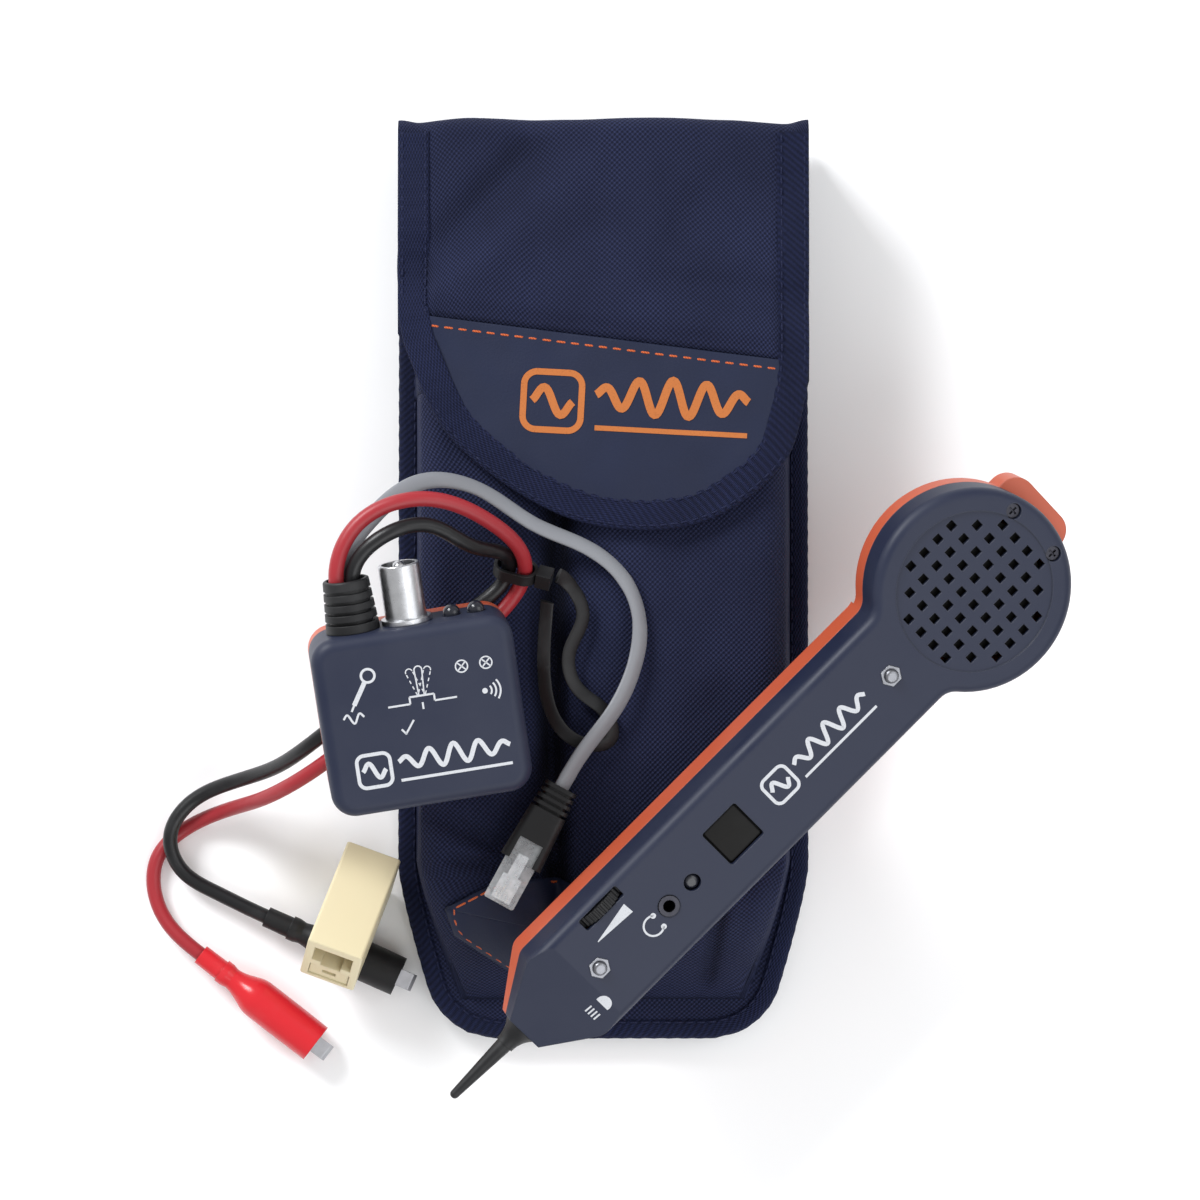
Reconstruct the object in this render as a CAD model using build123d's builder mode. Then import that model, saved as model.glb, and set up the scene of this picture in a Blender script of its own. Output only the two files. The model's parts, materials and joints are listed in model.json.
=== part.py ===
from build123d import *
import os

# Tone probe kit laid out flat: a fabric pouch on its back, with the probe and the
# tone generator lying on it and a modular coupler beside it.
# Millimetres, +Z up. The origin is on the table under the pouch's centre,
# +Y points to the pouch's top edge.

os.makedirs("parts", exist_ok=True)

GAP = 0.3  # clearance left between pieces that only lie against each other

# --- driving dimensions: pouch -------------------------------------------------
LOOP_T = 1.4  # belt loop webbing
LOOP_W = 56.0
LOOP_L = 150.0
BELT_GAP = 4.6  # room for a belt between loop and panel
PANEL_T = 3.0
PANEL_HALF_W = 60.5
PANEL_TOP = 133.0
PANEL_FOOT = -136.5
PANEL_TAPER = -85.0  # below this the sides lean in
PANEL_FOOT_HALF_W = 47.0
POCKET_D = 32.0
POCKET_MOUTH = 62.0
FABRIC_T = 2.0
DIVIDER_X = -14.5
DIVIDER_T = 1.5
FLAP_T = 2.5
FLAP_TOP = 136.5
FLAP_HALF_W = 60.5
BINDING_W = 9.0
BINDING_T = 0.7

PANEL_Z = LOOP_T + BELT_GAP
POCKET_Z = PANEL_Z + PANEL_T
FRONT_Z = POCKET_Z + POCKET_D
FLAP_Z = FRONT_Z + 2.0  # underside of the closed flap
HINGE_Y = FLAP_TOP - FLAP_T / 2
HINGE_Z = PANEL_Z + 2.0

# --- driving dimensions: probe -------------------------------------------------
# Its own frame: x runs from the tip to the head, z out of the front face,
# z = 0 is where the two shells meet.
PROBE_L = 239.0
PROBE_HALF_W = 16.5
PROBE_HALF_T = 12.0
WALL = 2.0
NOSE_X = 28.0
NOSE_HALF_W = 6.0
SHOULDER_X = 44.0
HEAD_R = 30.0
HEAD_X = PROBE_L - HEAD_R
HEAD_BACK = 7.0  # depth of the rear shell behind the head
TIP_Z = 1.0  # height of the tip's axis
CONTROL_Y = -1.6  # jack and lamp sit just off the centreline
WHEEL_X = 69.5
WHEEL_Y = 12.4
WHEEL_R = 9.0
JACK_X = 83.5
LED_X = 93.0
BUTTON_X = 111.0
BUTTON_W = 12.4
BUTTON_TRAVEL = 1.0
TERMINAL_XS = (57.0, 175.0)
CASE_SCREW_X = 233.0
CASE_SCREW_Y = 8.9
GRILLE_PITCH = 5.45
GRILLE_HOLE = 2.5
GRILLE_N = 8

# --- driving dimensions: tone generator ----------------------------------------
# Its own frame: origin at the middle of the case, y to the cable end, z out of the front.
GEN_W = 58.0
GEN_H = 52.0
GEN_D = 29.0
GEN_SPLIT = -5.5  # front shell above, rear shell below
GEN_TOP = GEN_H / 2
RELIEF_X = -15.5
RELIEF_L = 15.0
TOGGLE_Z = 3.0
GUARD_L = 17.0
LAMP_XS = (13.0, 20.0)
LEAD_R = 2.2
CORD_W = 5.2
CORD_T = 2.4

# --- driving dimensions: clips, plug, coupler ----------------------------------
CLIP_R = 6.1
CLIP_L = 44.0
JAW_PIVOT_X = 27.0
PIN_R = 0.9
EAR_T = 0.5
PLUG_W = 9.65
PLUG_T = 6.6
COUPLER_L = 36.0
COUPLER_W = 17.0
COUPLER_H = 21.0
COUPLER_TILT = 33.0

# --- where each item lies ------------------------------------------------------
PROBE_ROLL = 18.0
PROBE_AT = Pos(-44, -150, 57.4) * Rot(0, 0, 45) * Rot(PROBE_ROLL, 0, 0)
GENERATOR_AT = Pos(-53, -38, 62.6) * Rot(0, 0, 8) * Rot(12, 0, 0) * Rot(0, 5, 0)
RED_CLIP_AT = Pos(-121.8, -112.8, CLIP_R + 0.1) * Rot(0, 0, -37.7)
BLACK_CLIP_AT = Pos(-102, -101.4, CLIP_R + 0.1) * Rot(0, 0, -24.3)
PLUG_AT = Pos(-12.2, -61.2, FRONT_Z + 5.4) * Rot(0, 0, -118.7)
COUPLER_AT = Pos(-72.5, -91.6, 0.1) * Rot(0, 0, -110) * Rot(0, -COUPLER_TILT, 0)


def save(piece, name, at=Location()):
    """Put a finished piece in its place in the kit and write it under its own name."""
    piece.part.label = name
    placed = piece.part.moved(at)
    placed.label = name
    export_step(placed, f"parts/{name}.step")


def tapered_points(half_w, top, taper_y, foot_half_w, foot_y):
    """Corners of a face with straight sides that lean in towards its foot."""
    return [
        (-half_w, top), (half_w, top), (half_w, taper_y),
        (foot_half_w, foot_y), (-foot_half_w, foot_y), (-half_w, taper_y),
    ]


# ==================================================================== pouch ====
with BuildPart() as back_panel:
    with BuildSketch(Plane.XY.offset(PANEL_Z)) as panel_face:
        with BuildLine():
            Polyline(*tapered_points(PANEL_HALF_W, PANEL_TOP, PANEL_TAPER,
                                     PANEL_FOOT_HALF_W, PANEL_FOOT), close=True)
        make_face()
        fillet(panel_face.vertices().group_by(Axis.Y)[0], 14)
    extrude(amount=PANEL_T)
save(back_panel, "pouch_back_panel")

BINDING_LIP = 3.0  # how far the edge binding reaches onto each face
with BuildPart() as back_binding:
    for grow, mode in ((1.0, Mode.ADD), (-BINDING_LIP, Mode.SUBTRACT)):
        with BuildSketch(Plane.XY.offset(PANEL_Z - BINDING_T)) as ring:
            with BuildLine():
                Polyline(*tapered_points(PANEL_HALF_W + grow, PANEL_TOP - 6, PANEL_TAPER,
                                         PANEL_FOOT_HALF_W + grow, PANEL_FOOT - grow), close=True)
            make_face()
            fillet(ring.vertices().group_by(Axis.Y)[0], 14)
        extrude(amount=PANEL_T + 2 * BINDING_T, mode=mode)
    add(back_panel.part, mode=Mode.SUBTRACT)
save(back_binding, "pouch_back_binding")

LOOP_Y = 10.0
with BuildPart() as belt_loop:
    with BuildSketch(Plane.YZ):
        with BuildLine():
            Polyline((-LOOP_L / 2 + LOOP_Y, PANEL_Z), (-LOOP_L / 2 + LOOP_Y, 0),
                     (LOOP_L / 2 + LOOP_Y, 0), (LOOP_L / 2 + LOOP_Y, PANEL_Z),
                     (LOOP_L / 2 + LOOP_Y - 12, PANEL_Z), (LOOP_L / 2 + LOOP_Y - 18, LOOP_T),
                     (-LOOP_L / 2 + LOOP_Y + 18, LOOP_T), (-LOOP_L / 2 + LOOP_Y + 12, PANEL_Z),
                     close=True)
        make_face()
    extrude(amount=LOOP_W / 2, both=True)
save(belt_loop, "belt_loop")


def pocket_block(grow, mouth, foot):
    """The pockets' outer volume, narrower at the front, with every wall moved out by grow."""
    with BuildPart() as block:
        with BuildSketch(Plane.XY.offset(POCKET_Z)):
            with BuildLine():
                Polyline(*tapered_points(56.5 + grow, mouth, PANEL_TAPER,
                                         43 + grow, foot - grow), close=True)
            make_face()
        with BuildSketch(Plane.XY.offset(FRONT_Z + grow)):
            with BuildLine():
                Polyline(*tapered_points(54 + grow, mouth, -72, 43 + grow, foot + 29 - grow),
                         close=True)
            make_face()
        loft()
        front = block.faces().sort_by(Axis.Z)[-1]
        fillet(front.edges().filter_by(lambda edge: edge.center().Y < mouth - 1), 8 + grow)
    return block.part


POCKET_FOOT = -126.0
outer_block = pocket_block(0, POCKET_MOUTH, POCKET_FOOT)
inner_block = pocket_block(-FABRIC_T, POCKET_MOUTH + 8, POCKET_FOOT)

with BuildPart() as front_pockets:
    add(outer_block)
    add(inner_block, mode=Mode.SUBTRACT)
save(front_pockets, "pouch_front_pockets")

with BuildPart() as divider:
    add(inner_block)
    with Locations((DIVIDER_X, (POCKET_MOUTH + POCKET_FOOT) / 2, FRONT_Z / 2)):
        Box(DIVIDER_T, POCKET_MOUTH - POCKET_FOOT, 2 * FRONT_Z, mode=Mode.INTERSECT)
save(divider, "pocket_divider")

# smooth wear patch stitched over the lower left corner of the pockets
PATCH_T = 0.8
patch_skin = pocket_block(PATCH_T, POCKET_MOUTH, POCKET_FOOT)
with BuildPart() as corner_patch:
    with BuildSketch(Plane.XY.offset(POCKET_Z + 3)):
        with BuildLine():
            Polyline((-45.5, -97), (-43.5, -105), (-22, -122), (4, -122), (10, -100),
                     (-14, -89), (-31, -89), close=True)
        make_face()
    extrude(amount=POCKET_D)
    add(patch_skin, mode=Mode.INTERSECT)
    add(outer_block, mode=Mode.SUBTRACT)
save(corner_patch, "pocket_corner_patch")

# hook-and-loop closure between the pockets' front and the flap
CLOSURE_X = 6.0
CLOSURE_Y = 40.0
CLOSURE_L = 60.0
CLOSURE_W = 20.0
CLOSURE_T = 0.9
for name, bottom in (("closure_loop_pad", FRONT_Z), ("closure_hook_pad", FLAP_Z - CLOSURE_T)):
    with BuildPart() as pad:
        with BuildSketch(Plane.XY.offset(bottom)):
            with Locations((CLOSURE_X, CLOSURE_Y)):
                RectangleRounded(CLOSURE_L, CLOSURE_W, 2)
        extrude(amount=CLOSURE_T)
    save(pad, name)


# ===================================================================== flap ====
def flap_outline(inset):
    """Face seen from the front: straight sides, deeper on the right, with a swept lower edge."""
    side = FLAP_HALF_W - inset
    with BuildSketch() as outline:
        with BuildLine():
            edge = Spline((-side, 72 + inset / 3), (-44 + inset / 2, 40 + inset),
                          (-10, 17.5 + inset), (26, 15.5 + inset), (side - 8, 33 + inset),
                          (side, 58), tangents=((0.15, -1), (0.1, 1)))
            Polyline(edge @ 1, (side, FLAP_TOP), (-side, FLAP_TOP), edge @ 0)
        make_face()
    return outline.sketch


with BuildPart() as flap:
    with BuildSketch(Plane.YZ) as side_view:
        with BuildLine():
            Polyline((5, FLAP_Z), (FLAP_TOP - FLAP_T, FLAP_Z), (FLAP_TOP - FLAP_T, HINGE_Z - 1.5),
                     (FLAP_TOP, HINGE_Z - 1.5), (FLAP_TOP, FLAP_Z + FLAP_T), (5, FLAP_Z + FLAP_T),
                     close=True)
        make_face()
        bend = side_view.vertices().filter_by(lambda point: point.Y >= FLAP_Z and point.X > 100)
        fillet(bend.sort_by(Axis.Y)[0], 10)
        fillet(bend.sort_by(Axis.Y)[-1], 10 + FLAP_T)
    extrude(amount=FLAP_HALF_W, both=True)
    with BuildSketch():
        add(flap_outline(0))
    extrude(amount=FLAP_Z + FLAP_T + 5, mode=Mode.INTERSECT)
save(flap, "flap_panel")

FLAP_FRONT_Z = FLAP_Z + FLAP_T
with BuildPart() as flap_binding:
    with BuildSketch(Plane.XY.offset(FLAP_FRONT_Z)):
        add(flap_outline(0))
    extrude(amount=BINDING_T)
    with BuildSketch(Plane.XY.offset(FLAP_FRONT_Z)):
        add(flap_outline(BINDING_W))
    extrude(amount=BINDING_T, mode=Mode.SUBTRACT)
    with Locations((0, FLAP_TOP, FLAP_FRONT_Z)):
        Box(2 * PANEL_HALF_W + 2, 26, 4, mode=Mode.SUBTRACT)
save(flap_binding, "flap_binding")

with BuildPart() as flap_patch:
    with BuildSketch(Plane.XY.offset(FLAP_FRONT_Z)):
        add(flap_outline(BINDING_W + 0.2))
    extrude(amount=BINDING_T - 0.2)
    with BuildSketch(Plane.XY.offset(FLAP_FRONT_Z)):
        with BuildLine():
            Polyline((-70, 80.5), (70, 62), (70, 150), (-70, 150), close=True)
        make_face()
    extrude(amount=BINDING_T, mode=Mode.SUBTRACT)
save(flap_patch, "flap_patch")


# ==================================================================== probe ====
def probe_outline(inset, start=NOSE_X):
    """Face seen from the front: pointed nose, straight body and round head."""
    half_w = PROBE_HALF_W - inset
    nose = NOSE_HALF_W - inset
    with BuildSketch() as outline:
        with BuildLine():
            Polyline((NOSE_X, -nose), (SHOULDER_X, -half_w), (HEAD_X, -half_w),
                     (HEAD_X, half_w), (SHOULDER_X, half_w), (NOSE_X, nose), close=True)
        make_face()
        with Locations((HEAD_X, 0)):
            Circle(HEAD_R - inset)
        neck = outline.vertices().filter_by(lambda point: SHOULDER_X < point.X < HEAD_X)
        fillet(neck, 6)
        shoulders = outline.vertices().filter_by(lambda point: abs(point.X - SHOULDER_X) < 0.1)
        fillet(shoulders, 5 - inset)
        with Locations((start - 100, 0)):
            Rectangle(200, 100, mode=Mode.SUBTRACT)
    return outline.sketch


CAVITY_X = 50.0  # the nose ahead of this is solid round the tip's shank
SHANK_R = 2.6
NOSE_FRONT_Z = 6.5  # the shells get thinner towards the nose
NOSE_BACK_Z = -4.5
NOSE_FULL_X = 52.0  # full thickness from here on
SHELL_EDGE_R = 3.0
DISH_R = 23.5
DISH_DEPTH = 0.5
JACK_RIM_R = 3.3
LED_RIM_R = 2.6
NUT_R = 3.3
SCREW_RIM_R = 2.3
CONTROL_DEPTH = 4.0
CLEAR = 30.0  # size of a cutting block that reaches past the part
WHEEL_SLOT = (14.7, 4.0)

# the work light looks out of the slanting face beside the nose
LIGHT_R = 1.7
light_plane = Plane(((NOSE_X + SHOULDER_X) / 2, -(NOSE_HALF_W + PROBE_HALF_W) / 2, 4.4),
                    x_dir=(0, 0, 1), z_dir=(NOSE_HALF_W - PROBE_HALF_W, NOSE_X - SHOULDER_X, 0))

# square sound holes in rows, leaving out three at each corner
last = GRILLE_N - 1
grille_places = [
    (HEAD_X + (row - last / 2) * GRILLE_PITCH, (column - last / 2) * GRILLE_PITCH)
    for row in range(GRILLE_N)
    for column in range(GRILLE_N)
    if min(row, last - row) + min(column, last - column) >= 2
]

with BuildPart() as probe_front:
    with BuildSketch():
        add(probe_outline(0))
    extrude(amount=PROBE_HALF_T)
    fillet(probe_front.faces().sort_by(Axis.Z)[-1].outer_wire().edges(), SHELL_EDGE_R)
    with BuildSketch(Plane.XZ):
        with BuildLine():
            Polyline((0, NOSE_FRONT_Z), (NOSE_X, NOSE_FRONT_Z), (NOSE_FULL_X, PROBE_HALF_T),
                     (NOSE_FULL_X, CLEAR), (0, CLEAR), close=True)
        make_face()
    extrude(amount=CLEAR, both=True, mode=Mode.SUBTRACT)
    with BuildSketch():
        add(probe_outline(WALL, CAVITY_X))
    extrude(amount=PROBE_HALF_T - WALL, mode=Mode.SUBTRACT)
    with BuildSketch(Plane.YZ.offset(NOSE_X - 1)):
        with Locations((0, TIP_Z)):
            Circle(SHANK_R)
    extrude(amount=CAVITY_X - NOSE_X + 3, mode=Mode.SUBTRACT)
    # shallow dish round the grille
    with BuildSketch(Plane.XY.offset(PROBE_HALF_T - DISH_DEPTH)):
        with Locations((HEAD_X, 0)):
            Circle(DISH_R)
    extrude(amount=2, mode=Mode.SUBTRACT)
    with BuildSketch(Plane.XY.offset(PROBE_HALF_T + 1)):
        with Locations(*grille_places):
            Rectangle(GRILLE_HOLE, GRILLE_HOLE)
    extrude(amount=-2 * WALL, mode=Mode.SUBTRACT)
    with BuildSketch(light_plane.offset(2)):
        Circle(LIGHT_R + 0.1)
    extrude(amount=-8, mode=Mode.SUBTRACT)
    # button window, wheel slot, jack, lamp, terminals and case screws
    with BuildSketch(Plane.XY.offset(PROBE_HALF_T + 1)):
        with Locations((BUTTON_X, 0)):
            RectangleRounded(BUTTON_W + 0.8, BUTTON_W + 0.8, 0.8)
        with Locations((WHEEL_X, WHEEL_Y)):
            RectangleRounded(*WHEEL_SLOT, 0.6)
        with Locations((JACK_X, CONTROL_Y)):
            Circle(JACK_RIM_R)
        with Locations((LED_X, CONTROL_Y)):
            Circle(LED_RIM_R)
        with Locations(*[(x, 0) for x in TERMINAL_XS]):
            RegularPolygon(NUT_R, 6)
        with Locations((CASE_SCREW_X, CASE_SCREW_Y), (CASE_SCREW_X, -CASE_SCREW_Y)):
            Circle(SCREW_RIM_R)
    extrude(amount=-(CONTROL_DEPTH + 1), mode=Mode.SUBTRACT)
save(probe_front, "probe_front_shell", PROBE_AT)

COVER_START_X = 119.0  # battery opening in the back
COVER_END_X = 176.0
COVER_HALF_W = 11.5
DEEP_END_X = 183.0  # the handle is deep up to here, the head is shallower
LUG_X = 233.0
LUG_L = 21.0
LUG_W = 26.0
LUG_DEPTH = 9.0
with BuildPart() as probe_rear:
    with BuildSketch():
        add(probe_outline(0))
    extrude(amount=-HEAD_BACK)
    with BuildSketch():
        add(probe_outline(0))
        with Locations((DEEP_END_X + 50, 0)):
            Rectangle(100, 100, mode=Mode.SUBTRACT)
    extrude(amount=-PROBE_HALF_T)
    back_edges = probe_rear.faces().sort_by(Axis.Z)[0].edges().filter_by(Axis.X)
    fillet(back_edges, SHELL_EDGE_R)
    # lug that stands proud of the head's far end
    with BuildSketch():
        with Locations((LUG_X, 0)):
            RectangleRounded(LUG_L, LUG_W, 6)
    extrude(amount=-LUG_DEPTH)
    with BuildSketch(Plane.XZ):
        with BuildLine():
            Polyline((0, NOSE_BACK_Z), (NOSE_X, NOSE_BACK_Z), (CAVITY_X, -PROBE_HALF_T),
                     (CAVITY_X, -CLEAR), (0, -CLEAR), close=True)
        make_face()
    extrude(amount=CLEAR, both=True, mode=Mode.SUBTRACT)
    with BuildSketch():
        add(probe_outline(WALL, CAVITY_X))
    extrude(amount=-(HEAD_BACK - WALL), mode=Mode.SUBTRACT)
    with BuildSketch():
        with Locations(((CAVITY_X + DEEP_END_X - WALL) / 2, 0)):
            RectangleRounded(DEEP_END_X - WALL - CAVITY_X, 2 * (PROBE_HALF_W - WALL), 2)
    extrude(amount=-(PROBE_HALF_T - WALL), mode=Mode.SUBTRACT)
    with BuildSketch(Plane.YZ.offset(NOSE_X - 1)):
        with Locations((0, TIP_Z)):
            Circle(SHANK_R)
    extrude(amount=CAVITY_X - NOSE_X + 3, mode=Mode.SUBTRACT)
    with BuildSketch(Plane.XY.offset(-PROBE_HALF_T - 1)):
        with Locations(((COVER_START_X + COVER_END_X) / 2, 0)):
            RectangleRounded(COVER_END_X - COVER_START_X, 2 * COVER_HALF_W, 2)
    extrude(amount=WALL + 2, mode=Mode.SUBTRACT)
save(probe_rear, "probe_rear_shell", PROBE_AT)

with BuildPart() as battery_cover:
    with BuildSketch(Plane.XY.offset(-PROBE_HALF_T)):
        with Locations(((COVER_START_X + COVER_END_X) / 2, 0)):
            RectangleRounded(COVER_END_X - COVER_START_X - GAP, 2 * COVER_HALF_W - GAP, 1.9)
    extrude(amount=WALL)
save(battery_cover, "probe_battery_cover", PROBE_AT)

# conductive tip: a slim cone with a shank held between the shells
TIP_R = 2.5
SHANK_START_X = 22.5
SHANK_END_X = 46.0
with BuildPart() as tip:
    with BuildSketch(Plane.XZ):
        with BuildLine():
            nib = Line((1.3, TIP_Z + 1.35), (SHANK_START_X, TIP_Z + TIP_R))
            Polyline(nib @ 1, (SHANK_END_X, TIP_Z + TIP_R), (SHANK_END_X, TIP_Z), (0, TIP_Z))
            ThreePointArc((0, TIP_Z), (0.35, TIP_Z + 0.95), nib @ 0)
        make_face()
    revolve(axis=Axis((0, 0, TIP_Z), (1, 0, 0)))
save(tip, "probe_tip", PROBE_AT)

with BuildPart() as tip_collar:
    with BuildSketch(Plane.XZ):
        with BuildLine():
            flare = ThreePointArc((21.5, TIP_Z + 2.9), (25.8, TIP_Z + 3.9), (NOSE_X - 0.1, TIP_Z + 5.4))
            Polyline(flare @ 1, (NOSE_X - 0.1, TIP_Z + 2.55), (21.5, TIP_Z + 2.55), flare @ 0)
        make_face()
    revolve(axis=Axis((0, 0, TIP_Z), (1, 0, 0)))
save(tip_collar, "probe_tip_collar", PROBE_AT)

BUTTON_TOP = PROBE_HALF_T - 1.1
with BuildPart() as button:
    with BuildSketch(Plane.XY.offset(BUTTON_TOP - 5)):
        with Locations((BUTTON_X, 0)):
            RectangleRounded(BUTTON_W, BUTTON_W, 0.8)
    extrude(amount=5)
    fillet(button.faces().sort_by(Axis.Z)[-1].edges(), 0.5)
    # flange that keeps the button behind the shell
    with BuildSketch(Plane.XY.offset(BUTTON_TOP - 3)):
        with Locations((BUTTON_X, 0)):
            Rectangle(BUTTON_W + 2.4, BUTTON_W + 2.4)
    extrude(amount=1.4)
save(button, "probe_button", PROBE_AT)

SWITCH_Z = 0.7
with BuildPart() as button_switch:
    with BuildSketch(Plane.XY.offset(SWITCH_Z)):
        with Locations((BUTTON_X, 0)):
            RectangleRounded(6, 6, 0.5)
    extrude(amount=2.9)
    with BuildSketch(Plane.XY.offset(SWITCH_Z + 2.9)):
        with Locations((BUTTON_X, 0)):
            Circle(1.7)
    extrude(amount=BUTTON_TOP - 5 - BUTTON_TRAVEL - 0.1 - SWITCH_Z - 2.9)
save(button_switch, "probe_button_switch", PROBE_AT)

# volume wheel: a knurled disc on edge, its rim just proud of the slot
WHEEL_Z = PROBE_HALF_T + 1.2 - WHEEL_R
WHEEL_T = 3.0
WHEEL_BORE_R = 2.1
wheel_side = Plane((WHEEL_X, WHEEL_Y + WHEEL_T / 2, WHEEL_Z), x_dir=(1, 0, 0), z_dir=(0, -1, 0))
with BuildPart() as volume_wheel:
    with BuildSketch(wheel_side):
        Circle(WHEEL_R)
        with PolarLocations(WHEEL_R, 36):
            Circle(0.45, mode=Mode.SUBTRACT)
        Circle(WHEEL_BORE_R, mode=Mode.SUBTRACT)
    extrude(amount=WHEEL_T)
save(volume_wheel, "volume_wheel", PROBE_AT)

POT_T = 4.0
with BuildPart() as volume_pot:
    with BuildSketch(wheel_side):
        Circle(WHEEL_BORE_R - 0.05)
    extrude(amount=WHEEL_T + 1)
    with BuildSketch(wheel_side.offset(WHEEL_T + 0.4)):
        Circle(4.5)
    extrude(amount=POT_T)
save(volume_pot, "volume_potentiometer", PROBE_AT)

JACK_BORE_R = 1.8
JACK_BORE_L = 12.0
with BuildPart() as jack:
    with BuildSketch(Plane.XY.offset(PROBE_HALF_T + 0.3)):
        with Locations((JACK_X, CONTROL_Y)):
            Circle(3.15)
    extrude(amount=-JACK_BORE_L - 1)
    with BuildSketch(Plane.XY.offset(PROBE_HALF_T + 0.3)):
        with Locations((JACK_X, CONTROL_Y)):
            Circle(JACK_BORE_R)
    extrude(amount=-JACK_BORE_L, mode=Mode.SUBTRACT)
save(jack, "headphone_jack", PROBE_AT)

with BuildPart() as status_lamp:
    with BuildSketch(Plane.XY.offset(SWITCH_Z)):
        with Locations((LED_X, CONTROL_Y)):
            Circle(2.5)
    extrude(amount=PROBE_HALF_T - 0.8 - SWITCH_Z)
    fillet(status_lamp.faces().sort_by(Axis.Z)[-1].edges(), 1.5)
save(status_lamp, "status_lamp", PROBE_AT)

with BuildPart() as work_light:
    with BuildSketch(light_plane.offset(0.6)):
        Circle(LIGHT_R)
    extrude(amount=-5)
    fillet(work_light.faces().sort_by(Axis.Y)[0].edges(), 0.9)
save(work_light, "work_light", PROBE_AT)

# domed metal test terminals, each in a hexagon nut
POST_R = 2.1
with BuildPart() as posts:
    with BuildSketch(Plane.XY.offset(PROBE_HALF_T - 6)):
        with Locations(*[(x, 0) for x in TERMINAL_XS]):
            Circle(POST_R)
    extrude(amount=7.5)
    fillet(posts.faces().group_by(Axis.Z)[-1].edges(), 1.0)
save(posts, "test_terminals", PROBE_AT)

with BuildPart() as nuts:
    with BuildSketch(Plane.XY.offset(PROBE_HALF_T - 1.9)):
        with Locations(*[(x, 0) for x in TERMINAL_XS]):
            RegularPolygon(3.25, 6)
            Circle(POST_R + 0.02, mode=Mode.SUBTRACT)
    extrude(amount=2.0)
save(nuts, "terminal_nuts", PROBE_AT)

with BuildPart() as case_screws:
    with BuildSketch(Plane.XY.offset(PROBE_HALF_T - 1.2)):
        with Locations((CASE_SCREW_X, CASE_SCREW_Y), (CASE_SCREW_X, -CASE_SCREW_Y)):
            Circle(2.1)
    extrude(amount=-2)
    with BuildSketch(Plane.XY.offset(PROBE_HALF_T - 3.2)):
        with Locations((CASE_SCREW_X, CASE_SCREW_Y), (CASE_SCREW_X, -CASE_SCREW_Y)):
            Circle(1.2)
    extrude(amount=-11)
    with BuildSketch(Plane.XY.offset(PROBE_HALF_T - 1.2)):
        with Locations((CASE_SCREW_X, CASE_SCREW_Y), (CASE_SCREW_X, -CASE_SCREW_Y)):
            Rectangle(2.6, 0.5)
            Rectangle(0.5, 2.6)
    extrude(amount=-0.8, mode=Mode.SUBTRACT)
save(case_screws, "probe_case_screws", PROBE_AT)

with BuildPart() as speaker:
    with BuildSketch(Plane.XY.offset(PROBE_HALF_T - WALL - 1.5)):
        with Locations((HEAD_X, 0)):
            Circle(21)
    extrude(amount=-3)
    with BuildSketch(Plane.XY.offset(PROBE_HALF_T - WALL - 4.5)):
        with Locations((HEAD_X, 0)):
            Circle(10)
    extrude(amount=-8)
save(speaker, "probe_speaker", PROBE_AT)

BOARD_T = 1.6
with BuildPart() as probe_board:
    with BuildSketch(Plane.XY.offset(SWITCH_Z - BOARD_T)):
        with Locations((84.5, -0.5)):
            Rectangle(64, 26)
        with Locations((WHEEL_X, WHEEL_Y - 1)):
            Rectangle(20.5, 12.5, mode=Mode.SUBTRACT)
        with Locations((JACK_X, CONTROL_Y)):
            Circle(3.4, mode=Mode.SUBTRACT)
    extrude(amount=BOARD_T)
save(probe_board, "probe_circuit_board", PROBE_AT)

BATTERY = (48.5, 26.5, 17.5)


def battery_at(centre):
    """Nine-volt block battery with its two snap terminals at the +x end."""
    with BuildPart(centre) as block:
        Box(*BATTERY)
        fillet(block.edges().filter_by(Axis.X), 2)
        with Locations((BATTERY[0] / 2, -6.35, 0), (BATTERY[0] / 2, 6.35, 0)):
            Cylinder(2.9, 3, rotation=(0, 90, 0), align=(Align.CENTER, Align.CENTER, Align.MIN))
    return block


PROBE_BATTERY_X = 145.5
probe_battery = battery_at(Plane((PROBE_BATTERY_X, 0, -1.0)))
save(probe_battery, "probe_battery", PROBE_AT)

with BuildPart() as battery_snap:
    with Locations((PROBE_BATTERY_X + BATTERY[0] / 2 + 4.9, 0, -3.5)):
        Box(3.5, 25, 12)
save(battery_snap, "probe_battery_snap", PROBE_AT)


# =========================================================== tone generator ====
GEN_FRONT = GEN_D / 2
RELIEF_BORE_R = 5.6
with BuildPart() as gen_front:
    with BuildSketch(Plane.XY.offset(GEN_SPLIT)):
        RectangleRounded(GEN_W, GEN_H, 7)
    extrude(amount=GEN_FRONT - GEN_SPLIT)
    fillet(gen_front.faces().sort_by(Axis.Z)[-1].edges(), 3.5)
    with BuildSketch(Plane.XY.offset(GEN_SPLIT)):
        RectangleRounded(GEN_W - 2 * WALL, GEN_H - 2 * WALL, 5)
    extrude(amount=GEN_FRONT - GEN_SPLIT - WALL, mode=Mode.SUBTRACT)
    with BuildSketch(Plane.XZ.offset(-GEN_TOP - 1)):
        with Locations((RELIEF_X, TOGGLE_Z)):
            Circle(RELIEF_BORE_R)
        with Locations((0, TOGGLE_Z)):
            Circle(3.4)
        with Locations(*[(x, TOGGLE_Z) for x in LAMP_XS]):
            Circle(2.6)
    extrude(amount=WALL + 2, mode=Mode.SUBTRACT)
save(gen_front, "generator_front_shell", GENERATOR_AT)

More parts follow.
